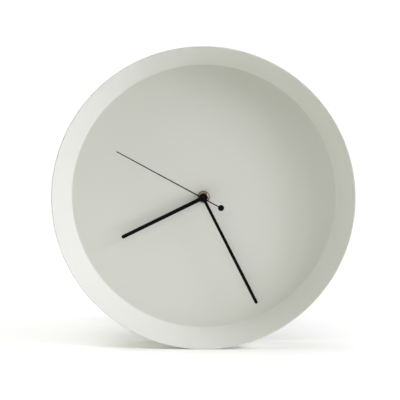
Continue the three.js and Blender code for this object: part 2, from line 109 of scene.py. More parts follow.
def circle(r, n, at=(0.0, 0.0), turn=0.0):
    a = turn + np.arange(n) * 2 * PI / n
    return np.c_[at[0] + r * np.cos(a), at[1] + r * np.sin(a)]


def rrect(x0, y0, x1, y1, r, n=6):
    out = []
    for cx, cy, a0 in ((x1 - r, y1 - r, 0), (x0 + r, y1 - r, 90), (x0 + r, y0 + r, 180), (x1 - r, y0 + r, 270)):
        for i in range(n + 1):
            a = math.radians(a0 + 90 * i / n)
            out.append((cx + r * math.cos(a), cy + r * math.sin(a)))
    return np.array(out)


def fillet(points, radii, n=6, closed=True):
    """A polyline with each corner rounded to its radius."""
    p = [np.array(q, float) for q in points]
    out, m = [], len(p)
    for i in range(m):
        r = radii[i] if hasattr(radii, "__len__") else radii
        if r <= 0 or (not closed and i in (0, m - 1)):
            out.append(p[i])
            continue
        a, b = p[i - 1] - p[i], p[(i + 1) % m] - p[i]
        la, lb = np.linalg.norm(a), np.linalg.norm(b)
        a, b = a / la, b / lb
        ang = math.acos(max(-1.0, min(1.0, float(a @ b))))
        if PI - ang < 1e-4:
            out.append(p[i])
            continue
        t = r / math.tan(ang / 2)
        if t > 0.49 * min(la, lb):
            t = 0.49 * min(la, lb)
            r = t * math.tan(ang / 2)
        c = p[i] + (a + b) / np.linalg.norm(a + b) * (r / math.sin(ang / 2))
        s, e = p[i] + a * t - c, p[i] + b * t - c
        a0, a1 = math.atan2(s[1], s[0]), math.atan2(e[1], e[0])
        d = (a1 - a0 + PI) % (2 * PI) - PI
        k = max(2, int(math.ceil(n * abs(d) / (PI / 2))))
        for j in range(k + 1):
            w = a0 + d * j / k
            out.append(c + r * np.array([math.cos(w), math.sin(w)]))
    return np.array(out)


def off(loop, d):
    """The loop moved outwards by d (the loop runs anticlockwise)."""
    if abs(d) < 1e-9:
        return loop
    e = np.roll(loop, -1, 0) - loop
    e = e / np.maximum(np.linalg.norm(e, axis=1), 1e-9)[:, None]
    nrm = np.c_[e[:, 1], -e[:, 0]]
    prev = np.roll(nrm, 1, 0)
    s = nrm + prev
    k = 1 + (nrm * prev).sum(1)
    return loop + d * s / np.maximum(k, 0.35)[:, None]


def at_z(loop, z):
    return np.c_[loop, np.full(len(loop), z)]


def inside(poly, pts):
    x, y = pts[:, 0], pts[:, 1]
    hit = np.zeros(len(pts), bool)
    a, b = poly, np.roll(poly, -1, 0)
    for (x0, y0), (x1, y1) in zip(a, b):
        cross = (y0 > y) != (y1 > y)
        if y1 != y0:
            hit ^= cross & (x < (x1 - x0) * (y - y0) / (y1 - y0) + x0)
    return hit


class Maker:
    """Collects the parts of one closed surface."""

    def __init__(self):
        self.v, self.f = [], []

    def add(self, verts, faces):
        o = len(self.v)
        self.v += [tuple(float(c) for c in p) for p in verts]
        self.f += [tuple(i + o for i in f) for f in faces]

    def loft(self, rings, loop=True, join_ends=False):
        n, faces = len(rings[0]), []
        last = len(rings) if join_ends else len(rings) - 1
        for k in range(last):
            a, b = k * n, ((k + 1) % len(rings)) * n
            for i in range(n if loop else n - 1):
                j = (i + 1) % n
                faces.append((a + i, a + j, b + j, b + i))
        self.add(np.concatenate(rings), faces)

    def wall(self, loop, z0, r0, z1, r1, n=3):
        """An upright wall over a loop. r0 and r1 are the rounding at its two ends: negative towards the inside of the loop."""
        rings, s = [], 1 if z1 > z0 else -1
        steps = [k / n * PI / 2 for k in range(n + 1)]
        for t in steps if r0 else [PI / 2]:
            rings.append(at_z(off(loop, r0 * (1 - math.sin(t))), z0 + s * abs(r0) * (1 - math.cos(t))))
        for t in reversed(steps) if r1 else [PI / 2]:
            rings.append(at_z(off(loop, r1 * (1 - math.sin(t))), z1 - s * abs(r1) * (1 - math.cos(t))))
        self.loft(rings)

    def cap(self, z, outer, holes=(), extra=()):
        """A flat face at height z inside outer and outside the holes."""
        loops = [np.asarray(outer)] + [np.asarray(h) for h in holes]
        if len(loops) == 1 and not len(extra):
            self.add(at_z(loops[0], z), [tuple(range(len(loops[0])))])
            return
        pts, edges = [], []
        for lp in loops:
            o = len(pts)
            pts += [Vector(p) for p in lp]
            edges += [(o + i, o + (i + 1) % len(lp)) for i in range(len(lp))]
        pts += [Vector(p) for p in extra]
        v, _, f, _, _, _ = geometry.delaunay_2d_cdt(pts, edges, [], 0, 1e-7)
        v = np.array([tuple(p) for p in v])
        f = [t for t in f if len(t) == 3]
        c = np.array([v[list(t)].mean(0) for t in f])
        keep = inside(loops[0], c)
        for h in loops[1:]:
            keep &= ~inside(h, c)
        self.add(at_z(v, z), [t for t, k in zip(f, keep) if k])

    def lathe(self, profile, n, axis=None):
        """Turns a closed (radius, height) profile. axis maps (radius, height, angle) to a point; the hand axis if left out."""
        rings = []
        for i in range(n):
            a = 2 * PI * i / n
            r, h = profile[:, 0], profile[:, 1]
            rings.append(np.c_[r * math.cos(a), r * math.sin(a), h] if axis is None else axis(r, h, a))
        self.loft(rings, join_ends=True)

    def turned(self, profile, n, axis=None):
        """Turns an open profile that starts and ends on the axis."""
        r, h = profile[:, 0], profile[:, 1]
        rings = []
        for i in range(n):
            a = 2 * PI * i / n
            rings.append(np.c_[r * math.cos(a), r * math.sin(a), h] if axis is None else axis(r, h, a))
        m = len(profile)
        verts, faces = np.concatenate(rings), []
        for i in range(n):
            a, b = i * m, ((i + 1) % n) * m
            faces.append((a, a + 1, b + 1))
            for k in range(1, m - 2):
                faces.append((a + k, a + k + 1, b + k + 1, b + k))
            faces.append((a + m - 2, a + m - 1, b + m - 2))
        self.add(verts, faces)

    def piece(self, name, material, body, nodes=(), slot=None, warp=None, sharp=38.0, wn=True, merge=2e-4):
        """Closes the surface, makes the object, and hangs it on its CAD body."""
        pts = np.array(self.v)
        if warp is not None:
            pts = warp(pts)
        mesh = bpy.data.meshes.new(name)
        mesh.from_pydata([tuple(p) for p in pts], [], self.f)
        bm = bmesh.new()
        bm.from_mesh(mesh)
        bmesh.ops.remove_doubles(bm, verts=bm.verts, dist=merge)
        bmesh.ops.dissolve_degenerate(bm, edges=bm.edges, dist=1e-5)
        bmesh.ops.recalc_face_normals(bm, faces=bm.faces)
        loose = [e for e in bm.edges if len(e.link_faces) != 2]
        if loose:
            print(f"OPEN {name}: {len(loose)} edges of {len(bm.edges)}", [tuple(round(c, 3) for c in e.verts[0].co) for e in loose[:4]])
        if bm.calc_volume(signed=True) < 0:
            bmesh.ops.reverse_faces(bm, faces=bm.faces)
        for v in bm.verts:
            v.co = Vector(row([v.co])[0])
        bm.to_mesh(mesh)
        bm.free()
        mesh.shade_smooth()
        mesh.set_sharp_from_angle(angle=math.radians(sharp))
        o = bpy.data.objects.new(name, mesh)
        bpy.context.scene.collection.objects.link(o)
        mesh.materials.append(material)
        if wn:
            m = o.modifiers.new("weighted", "WEIGHTED_NORMAL")
            m.keep_sharp = True
        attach(o, body)
        if nodes:
            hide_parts(*nodes)
        return o


# ---------------------------------------------------------------- materials


class Look:
    """A Principled material whose colour, roughness and bump come from node patterns in the piece's own coordinates."""

    def __init__(self, name, **values):
        self.m = bpy.data.materials.new(name)
        self.m.use_nodes = True
        self.t = self.m.node_tree
        self.t.nodes.clear()
        self.out = self.t.nodes.new("ShaderNodeOutputMaterial")
        self.p = self.t.nodes.new("ShaderNodeBsdfPrincipled")
        self.t.links.new(self.p.outputs[0], self.out.inputs[0])
        for k, v in values.items():
            self.p.inputs[k.replace("_", " ")].default_value = v
        self.co = self.t.nodes.new("ShaderNodeTexCoord").outputs["Object"]

    def node(self, kind, **settings):
        n = self.t.nodes.new(kind)
        for k, v in settings.items():
            setattr(n, k, v)
        return n

    def put(self, socket, value):
        if isinstance(value, bpy.types.NodeSocket):
            self.t.links.new(value, socket)
        else:
            socket.default_value = value

    def math(self, op, a, b=0.0, c=None, clamp=False):
        n = self.node("ShaderNodeMath", operation=op, use_clamp=clamp)
        self.put(n.inputs[0], a)
        self.put(n.inputs[1], b)
        if c is not None:
            self.put(n.inputs[2], c)
        return n.outputs[0]

    def scaled(self, factors, origin=(0, 0, 0)):
        n = self.node("ShaderNodeMapping")
        n.inputs["Scale"].default_value = factors
        n.inputs["Location"].default_value = [-o * f for o, f in zip(origin, factors)]
        self.put(n.inputs["Vector"], self.co)
        return n.outputs[0]

    def noise(self, scale, detail=2.0, rough=0.5, where=None, distortion=0.0):
        n = self.node("ShaderNodeTexNoise")
        n.inputs["Scale"].default_value = scale
        n.inputs["Detail"].default_value = detail
        n.inputs["Roughness"].default_value = rough
        n.inputs["Distortion"].default_value = distortion
        self.put(n.inputs["Vector"], where or self.co)
        return n.outputs["Fac"]

    def voronoi(self, scale, where=None, feature="F1"):
        n = self.node("ShaderNodeTexVoronoi", feature=feature)
        n.inputs["Scale"].default_value = scale
        self.put(n.inputs["Vector"], where or self.co)
        return n.outputs["Distance"]

    def remap(self, value, a, b, c, d, smooth=False):
        n = self.node("ShaderNodeMapRange", interpolation_type="SMOOTHSTEP" if smooth else "LINEAR")
        for i, x in enumerate((value, a, b, c, d)):
            self.put(n.inputs[i], x)
        return n.outputs[0]

    def mix(self, f, a, b):
        n = self.node("ShaderNodeMix", data_type="RGBA")
        self.put(n.inputs[0], f)
        self.put(n.inputs[6], tuple(a) + (1,) if isinstance(a, tuple) else a)
        self.put(n.inputs[7], tuple(b) + (1,) if isinstance(b, tuple) else b)
        return n.outputs[2]

    def axes(self):
        n = self.node("ShaderNodeSeparateXYZ")
        self.put(n.inputs[0], self.co)
        return n.outputs

    def radius(self, x=None, z=None):
        """Distance from a line along Y, in metres."""
        ax = self.axes()
        dx = self.math("SUBTRACT", ax[0], AX if x is None else x)
        dz = self.math("SUBTRACT", ax[2], AZ if z is None else z)
        return self.math("SQRT", self.math("ADD", self.math("MULTIPLY", dx, dx), self.math("MULTIPLY", dz, dz)))

    def bump(self, height, strength, distance):
        n = self.node("ShaderNodeBump")
        n.inputs["Strength"].default_value = strength
        n.inputs["Distance"].default_value = distance
        self.put(n.inputs["Height"], height)
        self.put(self.p.inputs["Normal"], n.outputs[0])

    def colour(self, value):
        self.put(self.p.inputs["Base Color"], value)
        return self

    def rough(self, value):
        self.put(self.p.inputs["Roughness"], value)
        return self


def tint(c, k):
    return tuple(min(1.0, x * k) for x in c)


PAINT = (0.660, 0.672, 0.610)


def powder_coat():
    s = Look("powder_coat", **{"Specular_IOR_Level": 0.35})
    fine = s.noise(1500, 2.0, 0.55)
    peel = s.noise(340, 1.0, 0.4)
    drift = s.noise(11, 2.0, 0.5)
    base = s.mix(s.remap(drift, 0.35, 0.65, 0, 1), tint(PAINT, 0.988), tint(PAINT, 1.008))
    base = s.mix(s.remap(fine, 0.25, 0.75, 0, 1), base, tint(PAINT, 1.012))
    # handling has polished the outer turn of the rim and the seam a little
    r = s.radius()
    rim = s.remap(r, 0.1491, 0.1499, 0, 1, smooth=True)
    worn = s.math("MULTIPLY", rim, s.remap(s.noise(60, 4.0, 0.6), 0.5, 0.72, 0, 1))
    s.colour(s.mix(s.math("MULTIPLY", worn, 0.35), base, tint(PAINT, 1.06)))
    s.rough(s.math("SUBTRACT", s.remap(fine, 0.2, 0.8, 0.47, 0.60), s.math("MULTIPLY", worn, 0.10)))
    s.bump(s.math("ADD", s.math("MULTIPLY", fine, 0.45), peel), 0.16, 0.00006)
    return s.m


def black_enamel():
    s = Look("black_enamel", **{"Specular_IOR_Level": 0.08})
    fine = s.noise(2600, 2.0, 0.5)
    soft = s.noise(120, 2.0, 0.5)
    s.colour(s.mix(s.remap(soft, 0.3, 0.7, 0, 1), (0.0012, 0.0012, 0.0016), (0.0026, 0.0026, 0.0031)))
    s.rough(s.remap(fine, 0.2, 0.8, 0.42, 0.58))
    s.bump(fine, 0.10, 0.00002)
    return s.m


def turned_metal(name, light, dark, rough_lo, rough_hi, pitch=0.00011, x=None, z=None, patina=0.6):
    s = Look(name, Metallic=1.0)
    r = s.radius(x, z)
    rings = s.math("SINE", s.math("MULTIPLY", s.math("ADD", r, s.math("MULTIPLY", s.noise(900, 1.0), 0.00004)), 2 * PI / pitch))
    blotch = s.remap(s.noise(420, 4.0, 0.62), 0.38, 0.66, 0, 1)
    s.colour(s.mix(s.math("MULTIPLY", blotch, patina), light, dark))
    s.rough(s.remap(s.noise(1300, 3.0, 0.6), 0.25, 0.75, rough_lo, rough_hi))
    s.bump(rings, 0.10, 0.000008)
    return s.m


def sheet_steel():
    s = Look("zinc_steel", Metallic=1.0)
    grain = s.noise(420, 3.0, 0.6, where=s.scaled((1.0, 1.0, 14.0)))
    spangle = s.voronoi(260)
    mottled = s.mix(s.remap(spangle, 0.1, 0.75, 0, 1), (0.50, 0.51, 0.53), (0.62, 0.63, 0.64))
    s.colour(s.mix(s.remap(s.noise(35, 4.0, 0.6), 0.52, 0.74, 0, 0.5), mottled, (0.42, 0.42, 0.41)))
    s.rough(s.remap(grain, 0.25, 0.75, 0.26, 0.46))
    s.bump(grain, 0.12, 0.00003)
    return s.m


def moulded(name, a, b, lo, hi, grain=900, depth=0.00004, strength=0.35):
    s = Look(name, **{"Specular_IOR_Level": 0.45})
    spark = s.noise(grain, 3.0, 0.6)
    s.colour(s.mix(s.remap(s.noise(55, 3.0, 0.55), 0.3, 0.7, 0, 1), a, b))
    s.rough(s.remap(spark, 0.25, 0.75, lo, hi))
    s.bump(spark, strength, depth)
    return s.m


def copper_winding():
    s = Look("copper_wire", Metallic=0.85)
    ax = s.axes()
    turns_relief_and_shade = s.math("SINE", s.math("MULTIPLY", ax[2], 2 * PI / 0.00016))
    # the colour follows the turns: painted shade in the grooves between wires and a painted highlight on their crests,
    # over the real bump
    s.colour(s.mix(s.remap(turns_relief_and_shade, -1, 1, 0, 1), (0.36, 0.13, 0.05), (0.66, 0.30, 0.14)))
    s.rough(s.remap(s.noise(800, 2.0), 0.3, 0.7, 0.25, 0.42))
    s.bump(turns_relief_and_shade, 0.5, 0.00004)
    return s.m


def solder_mask():
    s = Look("circuit_board", **{"Coat_Weight": 0.3, "Coat_Roughness": 0.2})
    weave = s.math("MULTIPLY", s.math("SINE", s.math("MULTIPLY", s.axes()[0], 2 * PI / 0.0006)), s.math("SINE", s.math("MULTIPLY", s.axes()[2], 2 * PI / 0.0006)))
    s.colour(s.mix(s.remap(weave, -1, 1, 0, 1), (0.028, 0.115, 0.045), (0.045, 0.155, 0.062)))
    s.rough(s.remap(s.noise(500, 2.0), 0.3, 0.7, 0.35, 0.5))
    s.bump(weave, 0.2, 0.00001)
    return s.m


def battery_jacket(x0, x1):
    """Plain printed film: a dark body and a pale band at the positive end."""
    s = Look("battery_jacket", Metallic=0.35, **{"Coat_Weight": 0.5, "Coat_Roughness": 0.12})
    x = s.axes()[0]
    band = s.remap(x, x1 - 0.0132, x1 - 0.0130, 0, 1)
    line = s.math("MULTIPLY", s.remap(x, x1 - 0.0142, x1 - 0.0141, 0, 1), s.remap(x, x1 - 0.0136, x1 - 0.0135, 1, 0))
    body = s.mix(s.remap(s.noise(90, 3.0, 0.5), 0.3, 0.7, 0, 1), (0.026, 0.070, 0.060), (0.034, 0.086, 0.074))
    s.colour(s.mix(line, s.mix(band, body, (0.46, 0.48, 0.47)), (0.60, 0.62, 0.61)))
    s.rough(s.remap(s.noise(700, 3.0, 0.6), 0.25, 0.75, 0.24, 0.38))
    s.bump(s.noise(240, 3.0, 0.5), 0.08, 0.00005)
    return s.m


def rubber():
    s = Look("black_rubber", **{"Specular_IOR_Level": 0.3})
    fine = s.noise(1800, 4.0, 0.7)
    s.colour(s.mix(s.remap(fine, 0.3, 0.7, 0, 1), (0.016, 0.016, 0.016), (0.030, 0.030, 0.029)))
    s.rough(s.remap(fine, 0.2, 0.8, 0.72, 0.92))
    s.bump(fine, 0.3, 0.00004)
    return s.m


def sintered():
    s = Look("magnet", Metallic=0.7)
    fine = s.noise(2400, 4.0, 0.7)
    s.colour(s.mix(s.remap(fine, 0.3, 0.7, 0, 1), (0.06, 0.06, 0.065), (0.11, 0.11, 0.115)))
    s.rough(s.remap(fine, 0.2, 0.8, 0.4, 0.62))
    s.bump(fine, 0.25, 0.00003)
    return s.m


PAINTED = powder_coat()
ENAMEL = black_enamel()
BRASS = turned_metal("brass_nut", (0.58, 0.50, 0.39), (0.44, 0.37, 0.27), 0.24, 0.40)
# the washer's brass is a much darker copy of the nut's brass: painted shade for the dark ring round the nut
BRASS_PAINTED_SHADE = turned_metal("brass_washer", (0.20, 0.155, 0.10), (0.11, 0.085, 0.055), 0.30, 0.46, patina=0.8)
BRASS_PLAIN = turned_metal("brass_bush", (0.40, 0.32, 0.17), (0.26, 0.20, 0.10), 0.24, 0.38)
STEEL = sheet_steel()
PIPE_STEEL = turned_metal("turned_steel", (0.46, 0.45, 0.43), (0.34, 0.33, 0.31), 0.20, 0.34, patina=0.4)
CASE_BLACK = moulded("black_moulding", (0.014, 0.0142, 0.015), (0.021, 0.021, 0.0222), 0.42, 0.62)
KNOB_BLACK = moulded("black_knob", (0.017, 0.017, 0.018), (0.026, 0.026, 0.027), 0.34, 0.52, grain=1300, strength=0.2)
ACETAL = moulded("white_acetal", (0.74, 0.73, 0.68), (0.80, 0.79, 0.74), 0.34, 0.48, grain=1500, strength=0.12)
BOARD = solder_mask()
RESIN = moulded("black_resin", (0.008, 0.008, 0.008), (0.014, 0.014, 0.014), 0.16, 0.34, grain=700, strength=0.1)
COPPER = copper_winding()
RUBBER = rubber()
MAGNET = sintered()

# ---------------------------------------------------------------- the case

flare = math.atan2((CASE_R - RIM_BEND) - DIAL_R, (CASE_DEPTH - RIM_BEND) - DIAL_FRONT)
for _ in range(20):
    _r = (CASE_R - RIM_BEND) - RIM_BEND * math.cos(flare)
    _z = (CASE_DEPTH - RIM_BEND) + RIM_BEND * math.sin(flare)
    flare = math.atan2(_r - DIAL_R, _z - DIAL_FRONT)
SLOPE = math.tan(flare)
THICK = SHEET / math.cos(flare)  # of the flared wall, measured along a radius
LIP_IN = CASE_R - SHEET


def flare_z(r):
    return DIAL_FRONT + (r - DIAL_R) / SLOPE


crotch = flare_z(LIP_IN - THICK) - 0.1
back_foot = DIAL_R + THICK + (DIAL_BACK - DIAL_FRONT) * SLOPE
# the flared wall ends in a narrow flat rim, its two edges rounded
rim_in = DIAL_R + (CASE_DEPTH - DIAL_FRONT) * SLOPE
bowl_outline = fillet(
    [
        (4.15, DIAL_BACK),
        (back_foot, DIAL_BACK),
        (LIP_IN - 0.001, crotch),
        (LIP_IN, LIP_END),
        (CASE_R, LIP_END),
        (CASE_R, CASE_DEPTH),
        (rim_in, CASE_DEPTH),
        (DIAL_R, DIAL_FRONT),
        (4.15, DIAL_FRONT),
    ],
    [0.15, 2.6, 0.45, 0.40, 0.50, 0.42, 0.45, 1.7, 0.2],
    n=8,
)


def with_radii(profile, radii):
    """Adds points where the profile's flat faces cross these radii, so that long faces are cut into sensible strips."""
    out = []
    for i, p in enumerate(profile):
        q = profile[(i + 1) % len(profile)]
        out.append(p)
        lo, hi = min(p[0], q[0]), max(p[0], q[0])
        cuts = [r for r in radii if lo + 0.3 < r < hi - 0.3]
        for r in sorted(cuts, reverse=bool(q[0] < p[0])):
            t = (r - p[0]) / (q[0] - p[0])
            out.append(p + t * (q - p))
    return np.array(out)


m = Maker()
m.lathe(with_radii(bowl_outline, [9, 18, 34, 56, 80, 104, 122, 128, 136, 141]), 480)
m.piece("bowl", PAINTED, "case", ["dial_bowl"], "powder_coat", sharp=50)

tongue = LIP_IN - 0.1
m = Maker()
m.lathe(
    fillet(
        [
            (CASE_R - SHEET, 0.0),
            (CASE_R, 0.0),
            (CASE_R, LIP_END - SEAM),
            (tongue, LIP_END - SEAM),
            (tongue, TONGUE_END),
            (tongue - SHEET, TONGUE_END),
            (tongue - SHEET, LIP_END - 1.2),
            (CASE_R - SHEET, LIP_END - 2.4),
        ],
        [0.3, 0.6, 0.35, 0.15, 0.3, 0.3, 0.8, 0.8],
        n=6,
    ),
    480,
)
m.piece("band", PAINTED, "case", ["case_band"], "powder_coat", sharp=50)

collar = CASE_R - SHEET - 0.1
m = Maker()
m.lathe(
    fillet(
        [
            (CASE_R - RING_W, 0.0),
            (collar, 0.0),
            (collar, RING_COLLAR),
            (collar - SHEET, RING_COLLAR),
            (collar - SHEET, SHEET),
            (CASE_R - RING_W, SHEET),
        ],
        [0.45, 1.1, 0.3, 0.3, 0.7, 0.45],
        n=5,
    ),
    480,
)
m.piece("back_ring", PAINTED, "case", ["wall_ring"], "powder_coat", sharp=50)

# ---------------------------------------------------------------- what clamps the movement

# Z-bent hanger: a flat pattern with its keyhole, then bent along its length.
lo_b, hi_b = span("hanger_bracket")
BT = 0.9
plane_z = hi_b[2] - BT / 2  # mid-plane behind the dial
tab_z = lo_b[2] + BT / 2
shelf_y = span("movement_front_case")[1][1] + 0.3 + BT / 2
BR = 1.15  # bend radius of the mid-plane
half_w = (hi_b[0] - lo_b[0]) / 2
leg1 = (shelf_y - BR) - lo_b[1]
drop = (plane_z - tab_z) - 2 * BR
arc = BR * PI / 2
leg2 = hi_b[1] - (shelf_y + BR)
U = np.cumsum([0, leg1, arc, drop, arc, leg2])  # stations along the flat pattern


def bent(pts):
    """(x, u, w) of the flat pattern to the bent shape; w runs from the wall side to the reader side of the first leg."""
    out = np.empty_like(pts)
    for i, (x, u, w) in enumerate(pts):
        if u <= U[1]:
            y, z, ny, nz = lo_b[1] + u, plane_z, 0.0, 1.0
        elif u <= U[2]:
            t = (u - U[1]) / BR
            y, z = shelf_y - BR + BR * math.sin(t), plane_z - BR + BR * math.cos(t)
            ny, nz = math.sin(t), math.cos(t)
        elif u <= U[3]:
            y, z, ny, nz = shelf_y, plane_z - BR - (u - U[2]), 1.0, 0.0
        elif u <= U[4]:
            t = (u - U[3]) / BR
            y, z = shelf_y + BR - BR * math.cos(t), tab_z + BR - BR * math.sin(t)
            ny, nz = math.cos(t), math.sin(t)
        else:
            y, z, ny, nz = shelf_y + BR + (u - U[4]), tab_z, 0.0, 1.0
        out[i] = x, y + w * ny, z + w * nz
    return out


def u_of(y):
    """Station of a height y on the tab."""
    return U[4] + (y - (shelf_y + BR))


keyhole_top = -AZ * 1000
keyhole_r, slot_r = 5.0, 2.5
ku, su = u_of(keyhole_top - 8), u_of(keyhole_top - slot_r)
a0 = math.asin(slot_r / keyhole_r)
key = [(keyhole_r * math.sin(t), ku + keyhole_r * math.cos(t)) for t in np.linspace(-a0, a0 - 2 * PI, 44)]
key += [(slot_r * math.cos(t), su + slot_r * math.sin(t)) for t in np.linspace(0, PI, 16)]
key = np.array(key)
if (np.roll(key, -1, 0)[:, 1] * key[:, 0] - np.roll(key, -1, 0)[:, 0] * key[:, 1]).sum() < 0:
    key = key[::-1]

bends = [U[1] + (U[2] - U[1]) * k / 8 for k in range(9)] + [U[3] + (U[4] - U[3]) * k / 8 for k in range(9)]
plan = []
for x, y, r in ((half_w, 0, 2.0), (half_w, U[5], 4.0), (-half_w, U[5], 4.0), (-half_w, 0, 2.0)):
    plan.append((x, y, r))
plan = fillet([(p[0], p[1]) for p in plan], [p[2] for p in plan], n=8)


def with_stations(loop, stations):
    out = []
    for i, p in enumerate(loop):
        q = loop[(i + 1) % len(loop)]
        out.append(p)
        lo, hi = min(p[1], q[1]), max(p[1], q[1])
        cuts = [s for s in stations if lo + 1e-6 < s < hi - 1e-6]
        for s in sorted(cuts, reverse=bool(q[1] < p[1])):
            out.append(p + (s - p[1]) / (q[1] - p[1]) * (q - p))
    return np.array(out)


plan = with_stations(plan, bends)
shaft_hole = circle(4.2, 40, (0.0, -lo_b[1]))
eb = 0.12
m = Maker()
rows_inside = [(x, s) for s in bends for x in np.linspace(-half_w + 1.0, half_w - 1.0, 19)]
for w, s in ((-BT / 2, -1), (BT / 2, 1)):
    m.cap(w, off(plan, -eb), [off(shaft_hole, eb), off(key, eb)], extra=rows_inside)
m.wall(plan, -BT / 2, -eb, BT / 2, -eb, n=2)
m.wall(shaft_hole, -BT / 2, eb, BT / 2, eb, n=2)
m.wall(key, -BT / 2, eb, BT / 2, eb, n=2)
m.piece("hanger", STEEL, "case", ["hanger_bracket"], "zinc_steel", warp=bent, sharp=30)

lo_g, hi_g = span("rubber_gasket")
m = Maker()
m.lathe(fillet([(4.2, lo_g[2]), (hi_g[0], lo_g[2]), (hi_g[0], hi_g[2]), (4.2, hi_g[2])], 0.22, n=4), 128)
m.piece("gasket", RUBBER, "case", ["rubber_gasket"], "black_rubber")

lo_w, hi_w = span("brass_washer")
m = Maker()
m.lathe(fillet([(4.05, lo_w[2]), (hi_w[0], lo_w[2]), (hi_w[0], hi_w[2]), (4.05, hi_w[2])], [0.08, 0.08, 0.16, 0.1], n=4), 160)
# the washer wears the darker brass copy, which is painted shade
m.piece("washer", BRASS_PAINTED_SHADE, "case", ["brass_washer"], "brass")

# Nut: straight-knurled side between two chamfers, and a chamfered bore.
lo_n, hi_n = span("centre_nut")
nut_r, n_seg, teeth = hi_n[0], 336, 56
ang = np.arange(n_seg) * 2 * PI / n_seg
wave = 0.5 - 0.5 * np.cos(ang * teeth)
wave = np.clip(wave * 1.5 - 0.1, 0, 1)
z0, z1 = lo_n[2], hi_n[2]
rings = []
for r, z, depth in (
    (4.15, z0, 0), (4.32, z0, 0), (nut_r - 0.34, z0, 0), (nut_r - 0.24, z0 + 0.03, 0), (nut_r - 0.02, z0 + 0.25, 0.02), (nut_r, z0 + 0.34, 0.15),
    (nut_r, z1 - 0.56, 0.15), (nut_r - 0.03, z1 - 0.47, 0.05), (nut_r - 0.40, z1 - 0.10, 0), (nut_r - 0.48, z1 - 0.02, 0), (nut_r - 0.56, z1, 0),
    (4.42, z1, 0), (4.32, z1 - 0.03, 0), (4.05, z1 - 0.28, 0), (4.05, z0 + 0.16, 0),
):
    rr = r - depth * wave
    rings.append(np.c_[rr * np.cos(ang), rr * np.sin(ang), np.full(n_seg, z)])
m = Maker()
m.loft(rings, join_ends=True)
m.piece("nut", BRASS, "case", ["centre_nut"], "brass", sharp=32)

# Bush: flange inside the movement, real 0.75 mm helical thread, chamfered end, plain bore.
lo_t, hi_t = span("threaded_bush")
BUSH_R, BORE_R, FLANGE_R, PITCH, NT = 3.95, 2.6, hi_t[0], 0.75, 96
ang = np.arange(NT) * 2 * PI / NT
flange_top = lo_t[2] + 0.75
rings = []
for r, z in ((BORE_R, lo_t[2] + 0.2), (BORE_R + 0.2, lo_t[2]), (FLANGE_R - 0.12, lo_t[2]), (FLANGE_R, lo_t[2] + 0.12), (FLANGE_R, flange_top - 0.1), (FLANGE_R - 0.1, flange_top), (BUSH_R - 0.28, flange_top)):
    rings.append(np.c_[r * np.cos(ang), r * np.sin(ang), np.full(NT, z)])
zs = np.arange(flange_top + 0.10, hi_t[2] - 0.02, 0.075)
for z in zs:
    ph = ((z / PITCH - ang / (2 * PI)) % 1.0)
    tri = np.abs(ph * 2 - 1)  # 1 at the crest, 0 at the root
    crest = np.clip((tri - 0.12) / 0.76, 0, 1)
    depth = 0.40 * (1 - crest)
    lead = min(1.0, (z - flange_top) / 0.5)
    cham = max(0.0, 0.34 - (hi_t[2] - z))
    rr = np.minimum(BUSH_R - depth * lead - 0.02, BUSH_R - cham)
    rings.append(np.c_[rr * np.cos(ang), rr * np.sin(ang), np.full(NT, z)])
rings.append(np.c_[(BUSH_R - 0.40) * np.cos(ang), (BUSH_R - 0.40) * np.sin(ang), np.full(NT, hi_t[2])])
for r, z in ((BORE_R + 0.22, hi_t[2]), (BORE_R, hi_t[2] - 0.22)):
    rings.append(np.c_[r * np.cos(ang), r * np.sin(ang), np.full(NT, z)])
m = Maker()
m.loft(rings, join_ends=True)
m.piece("bush", BRASS_PLAIN, "case", ["threaded_bush"], "brass", sharp=60, wn=False)

# ---------------------------------------------------------------- hands


def tip_of(node):
    """Direction, in radians from +y clockwise, and reach of the far end of a hand, from its CAD mesh."""
    best = (0.0, 0.0)
    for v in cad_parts[node].data.vertices:
        x, y = (v.co.x - AX) * 1000, (v.co.z - AZ) * 1000
        best = max(best, (math.hypot(x, y), math.atan2(x, y)))
    return best[1], best[0]


def turn_by(angle):
    """A hand drawn along +y, turned clockwise about the hand axis."""
    c, s = math.cos(-angle), math.sin(-angle)
    return lambda p: np.c_[p[:, 0] * c - p[:, 1] * s, p[:, 0] * s + p[:, 1] * c, p[:, 2]]


def outline(right):
    """A closed anticlockwise outline from its right side, drawn upwards from the lowest point on the middle line to the highest."""
    right = np.array(right)
    left = right[1:-1][::-1] * [-1, 1]
    return np.concatenate([right, left])


def arc_pts(cx, cy, r, a0, a1, n):
    return [(cx + r * math.cos(math.radians(a)), cy + r * math.sin(math.radians(a))) for a in np.linspace(a0, a1, n)]


def tip_and_axis(node, z_mid):
    """The hand's direction as the CAD has it: the blade's tip is symmetric, so its far points are averaged."""
    pts = np.array([((v.co.x - AX) * 1000, (v.co.z - AZ) * 1000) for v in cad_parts[node].data.vertices])
    reach = np.hypot(pts[:, 0], pts[:, 1])
    far = pts[reach > reach.max() - 2.2].mean(0)
    return math.atan2(far[0], far[1]), float(reach.max())


